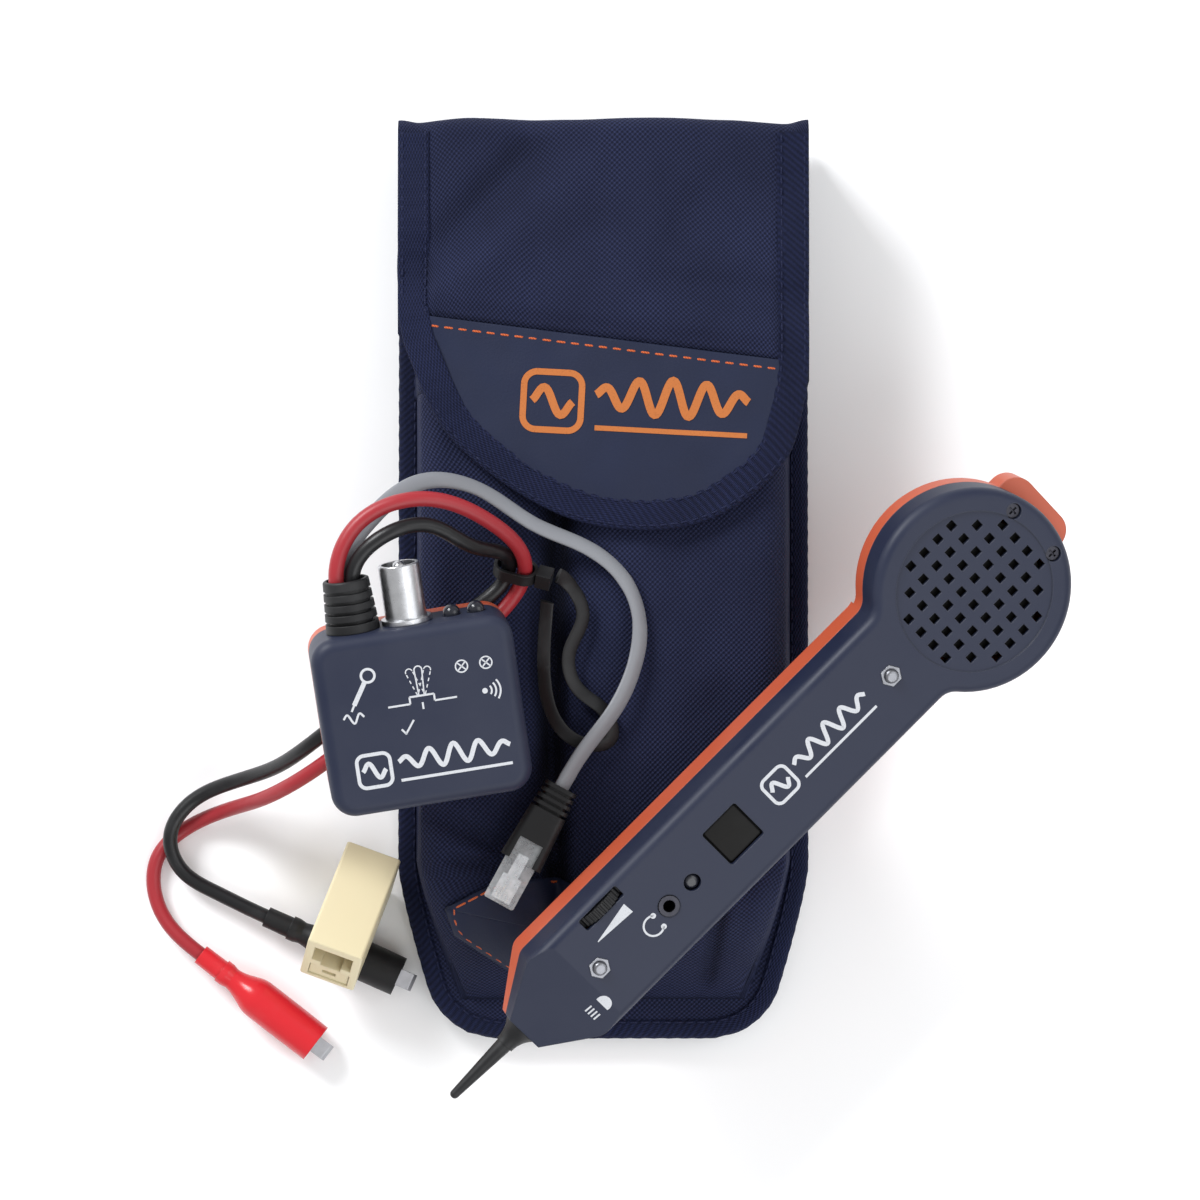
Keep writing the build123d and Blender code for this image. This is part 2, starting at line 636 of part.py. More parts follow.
with BuildPart() as gen_rear:
    with BuildSketch(Plane.XY.offset(GEN_SPLIT)):
        RectangleRounded(GEN_W, GEN_H, 7)
    extrude(amount=-(GEN_FRONT + GEN_SPLIT))
    fillet(gen_rear.faces().sort_by(Axis.Z)[0].edges(), 3)
    with BuildSketch(Plane.XY.offset(GEN_SPLIT)):
        RectangleRounded(GEN_W - 2 * WALL, GEN_H - 2 * WALL, 5)
    extrude(amount=-(GEN_FRONT + GEN_SPLIT - WALL), mode=Mode.SUBTRACT)
save(gen_rear, "generator_rear_shell", GENERATOR_AT)

# ribbed rubber boot where the three cables leave the case
cable_end = Plane((RELIEF_X, GEN_TOP, TOGGLE_Z), x_dir=(1, 0, 0), z_dir=(0, 1, 0))
RELIEF_R0 = 7.8
RELIEF_R1 = 6.6
RIB_N = 4
RIB_PITCH = 2.9
with BuildPart() as relief:
    with BuildSketch(cable_end.offset(0.1)):
        Circle(RELIEF_R0)
    with BuildSketch(cable_end.offset(RELIEF_L)):
        Circle(RELIEF_R1)
    loft()
    fillet(relief.faces().sort_by(Axis.Y)[-1].edges(), 0.6)
    for rib in range(RIB_N):
        with BuildSketch(cable_end.offset(2.6 + rib * RIB_PITCH)):
            Circle(RELIEF_R0 + 1)
            Circle(RELIEF_R1 - 0.5, mode=Mode.SUBTRACT)
        extrude(amount=1.0, mode=Mode.SUBTRACT)
    with BuildSketch(cable_end):
        Circle(RELIEF_BORE_R)
    extrude(amount=RELIEF_L + 2, mode=Mode.SUBTRACT)
save(relief, "strain_relief", GENERATOR_AT)

# metal collar round the toggle: a tube with a dished floor
switch_end = Plane((0, GEN_TOP, TOGGLE_Z), x_dir=(1, 0, 0), z_dir=(0, 1, 0))
GUARD_R = 6.0
GUARD_BORE_R = 4.9
FLOOR_Y = 9.0
PIVOT_Y = 6.0
with BuildPart() as guard:
    with BuildSketch(switch_end.offset(0.1)):
        Circle(GUARD_R)
    extrude(amount=GUARD_L)
    fillet(guard.faces().sort_by(Axis.Y)[-1].edges(), 0.4)
    with BuildSketch(switch_end.offset(0.1)):
        Circle(GUARD_R + 1.2)
    extrude(amount=1.4)
    with BuildSketch(switch_end.offset(FLOOR_Y)):
        Circle(GUARD_BORE_R)
    extrude(amount=GUARD_L, mode=Mode.SUBTRACT)
    with BuildSketch(switch_end):
        Circle(3.3)
    extrude(amount=FLOOR_Y - 1.2, mode=Mode.SUBTRACT)
    with BuildSketch(switch_end.offset(FLOOR_Y - 2)):
        Circle(2.3)
    extrude(amount=3, mode=Mode.SUBTRACT)
save(guard, "toggle_guard", GENERATOR_AT)

LEVER_TIP_Y = GUARD_L - 1.0
with BuildPart() as lever:
    with Locations((0, GEN_TOP + PIVOT_Y, TOGGLE_Z)):
        Sphere(1.9)
    with Locations((0, GEN_TOP + LEVER_TIP_Y, TOGGLE_Z)):
        Sphere(1.9)
    with BuildSketch(switch_end.offset(PIVOT_Y - 4)):
        Circle(1.0)
    with BuildSketch(switch_end.offset(LEVER_TIP_Y)):
        Circle(1.3)
    loft()
save(lever, "toggle_lever", GENERATOR_AT)

with BuildPart() as switch_body:
    with BuildSketch(switch_end.offset(-WALL - 0.1)):
        RectangleRounded(13, 8, 1)
    extrude(amount=-11)
    with BuildSketch(switch_end.offset(-WALL - 0.1)):
        Circle(3.0)
        Circle(2.2, mode=Mode.SUBTRACT)
    extrude(amount=WALL + 1.5)
save(switch_body, "toggle_switch_body", GENERATOR_AT)

with BuildPart() as volt_lamps:
    for lamp_x in LAMP_XS:
        with Locations((lamp_x, GEN_TOP - 4, TOGGLE_Z)):
            Cylinder(2.5, 4.6, rotation=(-90, 0, 0), align=(Align.CENTER, Align.CENTER, Align.MIN))
        with Locations((lamp_x, GEN_TOP + 0.6, TOGGLE_Z)):
            Sphere(2.5)
save(volt_lamps, "voltage_lamps", GENERATOR_AT)

generator_battery = battery_at(Plane((-1.5, -9, -2.5)))
save(generator_battery, "generator_battery", GENERATOR_AT)

with BuildPart() as gen_board:
    with BuildSketch(Plane.XY.offset(9)):
        with Locations((0, -2)):
            RectangleRounded(50, 42, 3)
    extrude(amount=BOARD_T)
save(gen_board, "generator_circuit_board", GENERATOR_AT)

with BuildPart() as gen_screws:
    with BuildSketch(Plane.XY.offset(-GEN_FRONT - 0.1)):
        with GridLocations(GEN_W - 14, GEN_H - 12, 2, 2):
            Circle(2.6)
            Rectangle(3.4, 0.6, mode=Mode.SUBTRACT)
            Rectangle(0.6, 3.4, mode=Mode.SUBTRACT)
    extrude(amount=-0.5)
save(gen_screws, "generator_case_screws", GENERATOR_AT)


# ==================================================================== leads ====
def in_kit(at, x, y, z):
    """Point of an item's own frame, in the kit's frame."""
    return (at * Pos(x, y, z)).position


RELIEF_END = GEN_TOP + RELIEF_L
BEHIND_Z = -GEN_FRONT - LEAD_R - 1.6  # leads run under the case at this height
TABLE_LEAD_Z = LEAD_R + 0.45
TIE_CENTRE = Vector(-25.6, 2.0, 49.8)
TIE_DIRECTION = Vector(-0.12, -0.72, -0.68).normalized()
TIE_ACROSS = Vector(0.95, -0.25, 0.1)
tie_plane = Plane(TIE_CENTRE, x_dir=TIE_ACROSS, z_dir=TIE_DIRECTION)
LEAD_PITCH = 2 * LEAD_R + 0.5


def lead(name, side, arc, under, run, clip_at):
    """Round test lead: out of the boot, through the tie, under the case and on to its clip."""
    start_x = RELIEF_X - side * LEAD_PITCH / 2
    start_z = TOGGLE_Z + 1.3
    across = tie_plane.x_dir * (side * LEAD_PITCH / 2)
    points = [
        in_kit(GENERATOR_AT, start_x, RELIEF_END - 5, start_z),
        in_kit(GENERATOR_AT, start_x, RELIEF_END + 2, start_z),
        *arc,
        TIE_CENTRE + across - TIE_DIRECTION * 3,
        TIE_CENTRE + across + TIE_DIRECTION * 3,
        *[in_kit(GENERATOR_AT, x, y, BEHIND_Z) for x, y in under],
        *run,
        *[in_kit(clip_at, x, 0, 0) for x in (-3, 2, 8)],
    ]
    with BuildPart() as wire:
        with BuildLine():
            path = Spline(*points)
        with BuildSketch(Plane(path @ 0, z_dir=path % 0)):
            Circle(LEAD_R)
        sweep()
    save(wire, name)


lead("red_lead", 1,
     arc=[(-70, 14, 78), (-52, 21.5, 76), (-33.3, 15.8, 66.5)],
     under=[(19, 14), (-2, 1), (-28, -15)],
     run=[(-101, -65, 26), (-115, -69.5, 7.5), (-127, -75, TABLE_LEAD_Z),
          (-135.5, -84, TABLE_LEAD_Z), (-136, -95, TABLE_LEAD_Z + 0.7),
          (-131.5, -104, TABLE_LEAD_Z + 2.4)],
     clip_at=RED_CLIP_AT)
lead("black_lead", -1,
     arc=[(-62, 11, 79), (-50, 14, 75), (-37.4, 8.3, 65.8)],
     under=[(17, 21), (-3, 8), (-28, -7)],
     run=[(-98, -56, 27), (-113, -61, 12), (-125, -67, 7.8), (-131, -77, 7.4),
          (-127.5, -87.5, 6.0), (-118, -93.8, 5.4)],
     clip_at=BLACK_CLIP_AT)


def flat_strip(name, points, width, thickness):
    """Flat cord or strap swept along a smooth path, starting with its width level."""
    with BuildPart() as strip:
        with BuildLine():
            path = Spline(*points)
        level = (path % 0).cross(Vector(0, 0, 1))
        with BuildSketch(Plane(path @ 0, x_dir=level, z_dir=path % 0)):
            Ellipse(width / 2, thickness / 2)
        sweep()
    save(strip, name)


CORD_TABLE_Z = FRONT_Z + CORD_T / 2 + 0.9
flat_strip("phone_cord", [
    in_kit(GENERATOR_AT, RELIEF_X, RELIEF_END - 4, TOGGLE_Z - 2.9),
    in_kit(GENERATOR_AT, RELIEF_X, RELIEF_END + 3, TOGGLE_Z - 2.9),
    (-66, 17, 68), (-52, 27.5, 58), (-36, 25.5, 50), (-20, 15.5, 46), (-5, 9, CORD_TABLE_Z),
    (6.5, -1, CORD_TABLE_Z), (10.5, -12, CORD_TABLE_Z), (9, -26, CORD_TABLE_Z + 1),
    (3, -39, CORD_TABLE_Z + 2.6), (-6, -51, FRONT_Z + 5.4),
    in_kit(PLUG_AT, -1, 0, 0), in_kit(PLUG_AT, 6, 0, 0),
], CORD_W, CORD_T)

# cable tie: a band round both leads with its square head
TIE_W = 3.6
with BuildPart() as tie:
    with BuildSketch(tie_plane.offset(-TIE_W / 2)):
        SlotOverall(2 * LEAD_PITCH + 3.4, LEAD_PITCH + 3.4)
        SlotOverall(2 * LEAD_PITCH + 1.4, LEAD_PITCH + 1.4, mode=Mode.SUBTRACT)
    extrude(amount=TIE_W)
    with BuildSketch(tie_plane.offset(-TIE_W / 2 - 0.6)):
        with Locations((LEAD_PITCH + 3.8, 0)):
            Rectangle(4.4, 5)
    extrude(amount=TIE_W + 1.2)
save(tie, "cable_tie")

# flat keeper strap: a loop from the tie, lying on the pouch under the phone cord
STRAP_W = 4.4
STRAP_T = 1.2
STRAP_Z = FRONT_Z + STRAP_T / 2 + 1.3
flat_strip("keeper_strap", [
    (-13.2, 0.6, 48.6), (-8.8, -3.4, 44.4), (-6, -11, STRAP_Z), (-10, -22, STRAP_Z), (-7, -33, STRAP_Z),
    (1, -40, STRAP_Z), (2, -47.5, STRAP_Z), (-6, -48.5, STRAP_Z), (-15, -40, STRAP_Z),
    (-17.5, -26, STRAP_Z), (-17, -13, STRAP_Z), (-16.5, -7, 45),
], STRAP_W, STRAP_T)


# ==================================================================== clips ====
def clip(colour, at):
    """Angled test clip: rubber boot, two sprung steel jaws and the pin they turn on."""
    with BuildPart() as boot:
        with BuildSketch(Plane.XZ):
            with BuildLine():
                Polyline((0, LEAD_R + 0.25), (0, 3.1), (8, 3.2), (8, 3.7), (10, 3.7), (12, 3.3))
                Spline((12, 3.3), (17, 4.7), (22, CLIP_R), tangents=((1, 0.1), (1, 0.05)))
                ThreePointArc((22, CLIP_R), (33, CLIP_R), (CLIP_L, CLIP_R - 0.1))
                Polyline((CLIP_L, CLIP_R - 0.1), (CLIP_L, 4.9), (21, 4.9), (17, 3.6), (13, 2.7),
                         (13, LEAD_R + 0.25), (0, LEAD_R + 0.25))
            make_face()
        revolve(axis=Axis.X)
    save(boot, f"{colour}_clip_boot", at)
    for part_name, flip, ear_y in (("fixed_jaw", -1, 1.4), ("moving_jaw", 1, 2.1)):
        with BuildPart() as jaw:
            with BuildSketch(Plane.XZ):
                with BuildLine():
                    Polyline((20, flip * 2.5), (JAW_PIVOT_X, flip * 1.9), (38, flip * 1.4),
                             (CLIP_L + 4.5, flip * 0.15), (CLIP_L + 5.0, flip * 0.5),
                             (CLIP_L + 4.0, flip * 1.4), (38, flip * 2.5),
                             (JAW_PIVOT_X, flip * 3.0), (20, flip * 3.3), close=True)
                make_face()
            extrude(amount=ear_y + 0.5, both=True)
            # ears that hang on the pin
            for side in (-1, 1):
                with BuildSketch(Plane.XZ.offset(side * (ear_y + EAR_T / 2) - EAR_T / 2)):
                    with Locations((JAW_PIVOT_X, 0)):
                        Circle(1.6)
                    with Locations((JAW_PIVOT_X, flip * 1.3)):
                        Rectangle(3.2, 2.6)
                    with Locations((JAW_PIVOT_X, 0)):
                        Circle(PIN_R + 0.05, mode=Mode.SUBTRACT)
                extrude(amount=EAR_T)
        save(jaw, f"{colour}_{part_name}", at)


clip("red", RED_CLIP_AT)
clip("black", BLACK_CLIP_AT)

pin_places = (RED_CLIP_AT * Pos(JAW_PIVOT_X, 0, 0), BLACK_CLIP_AT * Pos(JAW_PIVOT_X, 0, 0))
with BuildPart() as clip_pins:
    with Locations(*pin_places):
        Cylinder(PIN_R, 7.6, rotation=(90, 0, 0))
save(clip_pins, "clip_pins")

# torsion spring coiled round each pin between the jaws' ears
with BuildPart() as coil_spring:
    with BuildLine():
        coil = Helix(pitch=0.7, height=1.8, radius=1.3, center=(0, 0, -0.9))
    with BuildSketch(Plane(coil @ 0, z_dir=coil % 0)):
        Circle(0.25)
    sweep(is_frenet=True)
with BuildPart() as clip_springs:
    with Locations(*pin_places):
        add(coil_spring.part, rotation=(90, 0, 0))
save(clip_springs, "clip_springs")


# ============================================================= phone plug ====
BOOT_L = 25.0
PLUG_L = 38.5
CONTACT_N = 4
CONTACT_PITCH = 1.2
with BuildPart() as plug_boot:
    for along, width, height in ((0, 10, 6), (9, 11.5, 8), (BOOT_L, 13, 9)):
        with BuildSketch(Plane.YZ.offset(along)):
            RectangleRounded(width, height, 2)
    loft(ruled=True)
    for rib in range(4):
        with BuildSketch(Plane.YZ.offset(1.2 + rib * 2.0)):
            Rectangle(20, 20)
            RectangleRounded(8.6, 4.8, 1.5, mode=Mode.SUBTRACT)
        extrude(amount=0.9, mode=Mode.SUBTRACT)
    with BuildSketch(Plane.YZ.offset(-1)):
        RectangleRounded(CORD_W + 1.0, CORD_T + 1.4, 0.8)
    extrude(amount=BOOT_L, mode=Mode.SUBTRACT)
    with BuildSketch(Plane.YZ.offset(12)):
        Rectangle(PLUG_W + 0.2, PLUG_T + 0.2)
    extrude(amount=BOOT_L, mode=Mode.SUBTRACT)
    # slot in the hood for the latch's tail
    with BuildSketch(Plane.XY.offset(3)):
        with Locations((BOOT_L, 0)):
            Rectangle(14, 7.4)
    extrude(amount=6, mode=Mode.SUBTRACT)
save(plug_boot, "plug_boot", PLUG_AT)

with BuildPart() as plug_body:
    with BuildSketch(Plane.YZ.offset(12.1)):
        Rectangle(PLUG_W, PLUG_T)
    extrude(amount=PLUG_L - 12.1)
    chamfer(plug_body.faces().sort_by(Axis.X)[-1].edges(), 0.5)
    # open slots under the nose for the contacts
    with BuildSketch(Plane.XY.offset(-PLUG_T / 2 - 1)):
        with Locations((PLUG_L - 3.2, 0)):
            with GridLocations(1, CONTACT_PITCH, 1, CONTACT_N):
                Rectangle(5, 0.62)
    extrude(amount=2.8, mode=Mode.SUBTRACT)
save(plug_body, "plug_body", PLUG_AT)

with BuildPart() as plug_contacts:
    with BuildSketch(Plane.XY.offset(-PLUG_T / 2 + 0.2)):
        with Locations((PLUG_L - 3.2, 0)):
            with GridLocations(1, CONTACT_PITCH, 1, CONTACT_N):
                Rectangle(4.4, 0.5)
    extrude(amount=1.4)
save(plug_contacts, "plug_contacts", PLUG_AT)

# springy latch: rooted at the nose, rising towards the boot
LATCH_ROOT_X = PLUG_L - 1.2
LATCH_TAIL_X = 22.5
with BuildPart() as plug_latch:
    with BuildSketch(Plane.XZ):
        with BuildLine():
            Polyline((LATCH_ROOT_X, 3.55), (LATCH_ROOT_X, 4.6), (LATCH_TAIL_X, 7.0),
                     (LATCH_TAIL_X, 5.9), (LATCH_ROOT_X - 2.6, 3.9), close=True)
        make_face()
    extrude(amount=3, both=True)
    # narrow tail behind the two stop shoulders
    with BuildSketch():
        with Locations((LATCH_TAIL_X + 3, 3.1), (LATCH_TAIL_X + 3, -3.1)):
            Rectangle(8, 2.8)
    extrude(amount=10, mode=Mode.SUBTRACT)
save(plug_latch, "plug_latch", PLUG_AT)


# ================================================================= coupler ====
# Its own frame: x runs from the rear end to the front end, the origin is on the
# rear end's bottom edge. Both ends have the same jack.
SOCKET_W = 12.0
SOCKET_H = 7.6
SOCKET_DEPTH = 14.0
SOCKET_Z = 14.2
INSERT_W = 12.4
INSERT_H = 6.4
INSERT_Z = 4.6
rear_end = Plane((0, 0, 0), x_dir=(0, -1, 0), z_dir=(-1, 0, 0))
front_end = Plane((COUPLER_L, 0, 0), x_dir=(0, 1, 0), z_dir=(1, 0, 0))
with BuildPart() as housing:
    with BuildSketch(Plane.YZ):
        with Locations((0, COUPLER_H / 2)):
            RectangleRounded(COUPLER_W, COUPLER_H, 0.8)
    extrude(amount=COUPLER_L)
    chamfer(housing.faces().filter_by(Axis.X).edges(), 0.3)
    for end in (rear_end, front_end):
        with BuildSketch(end):
            with Locations((0, SOCKET_Z)):
                Rectangle(SOCKET_W, SOCKET_H)
            with Locations((0, SOCKET_Z - SOCKET_H / 2 - 0.8)):
                Rectangle(6.2, 1.8)
        extrude(amount=-SOCKET_DEPTH, mode=Mode.SUBTRACT)
        with BuildSketch(end):
            with Locations((0, INSERT_Z)):
                Rectangle(INSERT_W, INSERT_H)
        extrude(amount=-5, mode=Mode.SUBTRACT)
save(housing, "coupler_housing", COUPLER_AT)

with BuildPart() as insert:
    for end in (rear_end, front_end):
        with BuildSketch(end.offset(-4.8)):
            with Locations((0, INSERT_Z)):
                Rectangle(INSERT_W - 0.3, INSERT_H - 0.3)
        extrude(amount=4.3)
        with BuildSketch(end.offset(0)):
            with Locations((0, INSERT_Z)):
                Rectangle(4.2, 1.6)
        extrude(amount=-2.4, mode=Mode.SUBTRACT)
save(insert, "coupler_inserts", COUPLER_AT)

JACK_LANES = 8
with BuildPart() as coupler_contacts:
    for end in (rear_end, front_end):
        with BuildSketch(end.offset(-SOCKET_DEPTH + 0.1)):
            with Locations((0, SOCKET_Z + SOCKET_H / 2 - 0.9)):
                with GridLocations(1.02, 1, JACK_LANES, 1):
                    Rectangle(0.45, 0.45)
        extrude(amount=SOCKET_DEPTH - 4, dir=end.z_dir + Vector(0, 0, -0.16))
save(coupler_contacts, "coupler_contacts", COUPLER_AT)
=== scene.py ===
import json
from math import cos, exp, hypot, pi, radians, sin, sqrt

import bpy
import numpy as np
from mathutils import Euler, Matrix, Vector, noise


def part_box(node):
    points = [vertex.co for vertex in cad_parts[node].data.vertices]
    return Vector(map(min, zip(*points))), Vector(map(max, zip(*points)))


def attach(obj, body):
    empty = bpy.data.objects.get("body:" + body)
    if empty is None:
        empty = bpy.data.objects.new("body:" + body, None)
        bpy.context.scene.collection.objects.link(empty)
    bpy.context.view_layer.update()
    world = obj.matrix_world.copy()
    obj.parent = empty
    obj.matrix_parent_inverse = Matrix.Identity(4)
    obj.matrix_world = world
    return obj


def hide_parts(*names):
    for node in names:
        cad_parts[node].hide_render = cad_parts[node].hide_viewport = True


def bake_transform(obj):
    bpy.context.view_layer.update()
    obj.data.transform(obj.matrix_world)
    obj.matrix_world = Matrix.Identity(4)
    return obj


# Looks of the tone probe kit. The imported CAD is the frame: hard pieces keep their CAD
# shape and get a material here. The fabric pieces are shaped here by height formulas, with
# no cloth simulation, and stand for CAD nodes.
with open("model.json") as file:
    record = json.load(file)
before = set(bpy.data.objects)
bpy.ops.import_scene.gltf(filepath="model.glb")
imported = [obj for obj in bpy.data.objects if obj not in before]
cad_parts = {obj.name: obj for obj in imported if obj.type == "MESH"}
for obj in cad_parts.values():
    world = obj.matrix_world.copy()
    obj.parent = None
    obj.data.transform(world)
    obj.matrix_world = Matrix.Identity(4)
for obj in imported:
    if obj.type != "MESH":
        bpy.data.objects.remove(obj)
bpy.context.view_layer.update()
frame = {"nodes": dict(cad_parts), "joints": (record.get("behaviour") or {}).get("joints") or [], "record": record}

MM = 0.001

# woven cloth colours: the light one is painted on the raised crossings of the weave as a painted highlight
NAVY_LIGHT = "#3a4269"
NAVY_DARK = "#0f1225"
FOLD_SHADE_NAVY = "#04050a"  # painted shade: the cloth's colour deep in a fold, where its own folds hide it
VINYL = "#1a2139"
SLATE = "#1d2338"
ORANGE = "#b85234"
THREAD_ORANGE = "#cd6438"
THREAD_NAVY = "#1b2140"
EMBLEM_ORANGE = "#b0642c"
PRINT_WHITE = "#c6c8cd"
BLACK = "#131315"
RED = "#c9242c"
RED_WIRE = "#98282f"
CORD_GREY = "#7f8186"
IVORY = "#d8cca8"
WHITE = "#eef0f2"


# =============================================================== small helpers ====
def rgb(code):
    """Linear colour, with alpha, from a #rrggbb code."""
    parts = [int(code[i:i + 2], 16) / 255 for i in (1, 3, 5)]
    linear = [p / 12.92 if p <= 0.04045 else ((p + 0.055) / 1.055) ** 2.4 for p in parts]
    return (*linear, 1.0)


def smooth(low, high, value):
    """0 below low, 1 above high, an S-curve between; low may be above high."""
    t = min(1.0, max(0.0, (value - low) / (high - low)))
    return t * t * (3 - 2 * t)


def hump(value, centre, width):
    """A bell that is 1 at centre and fades over width."""
    return exp(-((value - centre) / width) ** 2)


def joint(name):
    """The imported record's joint of that name."""
    return next(j for j in frame["joints"] if j["name"] == name)


def node_slots():
    """Material slot of every CAD node."""
    return {row["node"]: row["material_slot"] for row in frame["record"]["subparts"]}


# ================================================================== materials ====
class Look:
    """A procedural material being built: nodes go in by type and are wired by socket."""

    def __init__(self, name, roughness=0.5, metallic=0.0, shine=0.4):
        self.material = bpy.data.materials.new(name)
        self.material.use_nodes = True
        self.tree = self.material.node_tree
        self.shader = self.tree.nodes["Principled BSDF"]
        self.set("Roughness", roughness)
        self.set("Metallic", metallic)
        self.set("Specular IOR Level", shine)

    def set(self, socket, value):
        self.feed(self.shader.inputs[socket], value)

    def feed(self, socket, value):
        if isinstance(value, bpy.types.NodeSocket):
            self.tree.links.new(value, socket)
        else:
            socket.default_value = value

    def node(self, kind, inputs, **settings):
        made = self.tree.nodes.new(kind)
        for key, value in settings.items():
            setattr(made, key, value)
        for key, value in inputs.items():
            self.feed(made.inputs[key], value)
        return made

    def math(self, operation, a, b=0.0):
        return self.node("ShaderNodeMath", {0: a, 1: b}, operation=operation).outputs[0]

    def where(self, kind="Object", stretch=(1, 1, 1)):
        """Texture coordinates in metres, stretched along each axis."""
        source = self.node("ShaderNodeTexCoord", {}).outputs[kind]
        return self.node("ShaderNodeMapping", {"Vector": source, "Scale": stretch}).outputs[0]

    def noise(self, place, scale, detail=3.0):
        made = self.node("ShaderNodeTexNoise", {"Vector": place, "Scale": scale, "Detail": detail})
        return made.outputs["Fac"]

    def cells(self, place, scale):
        made = self.node("ShaderNodeTexVoronoi", {"Vector": place, "Scale": scale})
        return made.outputs["Distance"]

    def between(self, value, low, high):
        """Stretches low..high to 0..1 and cuts off the rest."""
        made = self.node("ShaderNodeMapRange", {"Value": value, "From Min": low, "From Max": high})
        return made.outputs[0]

    def mix(self, share, first, second):
        made = self.node("ShaderNodeMix", {0: share, 6: first, 7: second}, data_type="RGBA")
        return made.outputs[2]

    def round_edges(self, radius):
        """Normal with edges rounded to radius, and how strongly each point is an edge."""
        rounded = self.node("ShaderNodeBevel", {"Radius": radius}, samples=4).outputs[0]
        flat = self.node("ShaderNodeNewGeometry", {}).outputs["Normal"]
        same = self.node("ShaderNodeVectorMath", {0: rounded, 1: flat}, operation="DOT_PRODUCT")
        edge = self.between(self.math("SUBTRACT", 1.0, same.outputs["Value"]), 0.02, 0.3)
        return rounded, edge

    def bump(self, height, depth, normal=None):
        inputs = {"Height": height, "Distance": depth, "Strength": 1.0}
        if normal is not None:
            inputs["Normal"] = normal
        self.set("Normal", self.node("ShaderNodeBump", inputs).outputs[0])


def cloth_look(name, dark, light, pitch, ribs=1.0):
    """Woven synthetic cloth: crossed threads, the raised crossings painted lighter as a painted highlight, with
    uneven yarn, and painted shade deep in its own folds.
    """
    look = Look(name, roughness=0.8, shine=0.15)
    place = look.where("UV")
    drift = look.noise(place, 60.0)
    axes = look.node("ShaderNodeSeparateXYZ", {"Vector": place})
    across = look.math("MULTIPLY", axes.outputs[0], 2 * pi / pitch)
    along = look.math("MULTIPLY", axes.outputs[1], 2 * pi / (pitch * ribs))
    along = look.math("ADD", along, look.math("MULTIPLY", drift, 2.5))
    over = look.math("MULTIPLY", look.math("SINE", across), look.math("SINE", along))
    crown = look.between(over, -0.75, 0.9)
    fibre = look.noise(place, 5200.0, 2.0)
    wear = look.between(look.noise(place, 26.0, 4.0), 0.3, 0.75)
    shade = look.math("MULTIPLY", crown, look.between(fibre, 0.15, 0.75))
    shade = look.math("MULTIPLY", shade, look.between(wear, -1.0, 1.0))
    # painted shade: where the cloth's own folds close over it (ambient occlusion), its colour is darkened towards
    # the fold shade colour
    painted_fold_shade_mask = look.node("ShaderNodeAmbientOcclusion", {"Distance": 16 * MM}, samples=6, only_local=True)
    painted_fold_shade_mask = look.between(painted_fold_shade_mask.outputs["AO"], 0.5, 0.97)
    # painted highlight: the colour is lighter on the raised crossings of the weave and darker between the threads
    woven = look.mix(shade, rgb(dark), rgb(light))
    look.set("Base Color", look.mix(painted_fold_shade_mask, rgb(FOLD_SHADE_NAVY), woven))
    look.set("Sheen Weight", 0.12)
    look.set("Sheen Roughness", 0.4)
    look.set("Sheen Tint", rgb(NAVY_LIGHT))
    height = look.math("ADD", crown, look.math("MULTIPLY", fibre, 0.35))
    look.bump(height, 0.32 * MM)
    return look.material


def vinyl_look(name, colour):
    """Smooth coated cloth with a fine pressed grain."""
    look = Look(name, roughness=0.5, shine=0.25)
    place = look.where("UV")
    grain = look.cells(place, 1700.0)
    cloud = look.noise(place, 45.0, 4.0)
    darker = look.mix(0.75, rgb("#000000"), rgb(colour))
    look.set("Base Color", look.mix(look.between(cloud, 0.1, 0.7), darker, rgb(colour)))
    look.set("Roughness", look.between(cloud, -0.7, 1.2))
    height = look.math("ADD", grain, look.math("MULTIPLY", cloud, 1.5))
    look.bump(height, 0.05 * MM)
    return look.material


def fuzzy_look(name, colour):
    """Hook and loop pile."""
    look = Look(name, roughness=0.95)
    place = look.where("UV")
    pile = look.cells(place, 1500.0)
    tufts = look.noise(place, 900.0, 4.0)
    look.set("Base Color", look.mix(look.between(pile, 0.1, 0.8), rgb("#050507"), rgb(colour)))
    look.set("Sheen Weight", 0.5)
    look.bump(look.math("ADD", pile, tufts), 0.5 * MM)
    return look.material


def moulded_look(name, colour, roughness=0.5, edge_highlight_colour=None, radius=0.7 * MM, grain=0.02 * MM,
                 gloss=0.5):
    """Moulded plastic: spark-textured skin, rounded edges that catch the light and are painted paler as a painted
    highlight, faint handling marks.
    """
    look = Look(name, roughness)
    place = look.where("Object")
    skin = look.noise(place, 3200.0, 2.0)
    marks = look.between(look.noise(place, 38.0, 5.0), 0.35, 0.7)
    rounded, edge = look.round_edges(radius)
    body = look.mix(look.math("MULTIPLY", marks, 0.35), rgb(colour), look.mix(0.03, rgb(colour), rgb(WHITE)))
    # painted highlight: the edges are painted a paler tone
    painted_edge_highlight = rgb(edge_highlight_colour) if edge_highlight_colour else look.mix(0.06, rgb(colour), rgb(WHITE))
    look.set("Base Color", look.mix(edge, body, painted_edge_highlight))
    look.set("Roughness", look.math("ADD", look.math("MULTIPLY", marks, 0.12), roughness - 0.05))
    look.set("Specular IOR Level", gloss)
    look.bump(skin, grain, rounded)
    return look.material


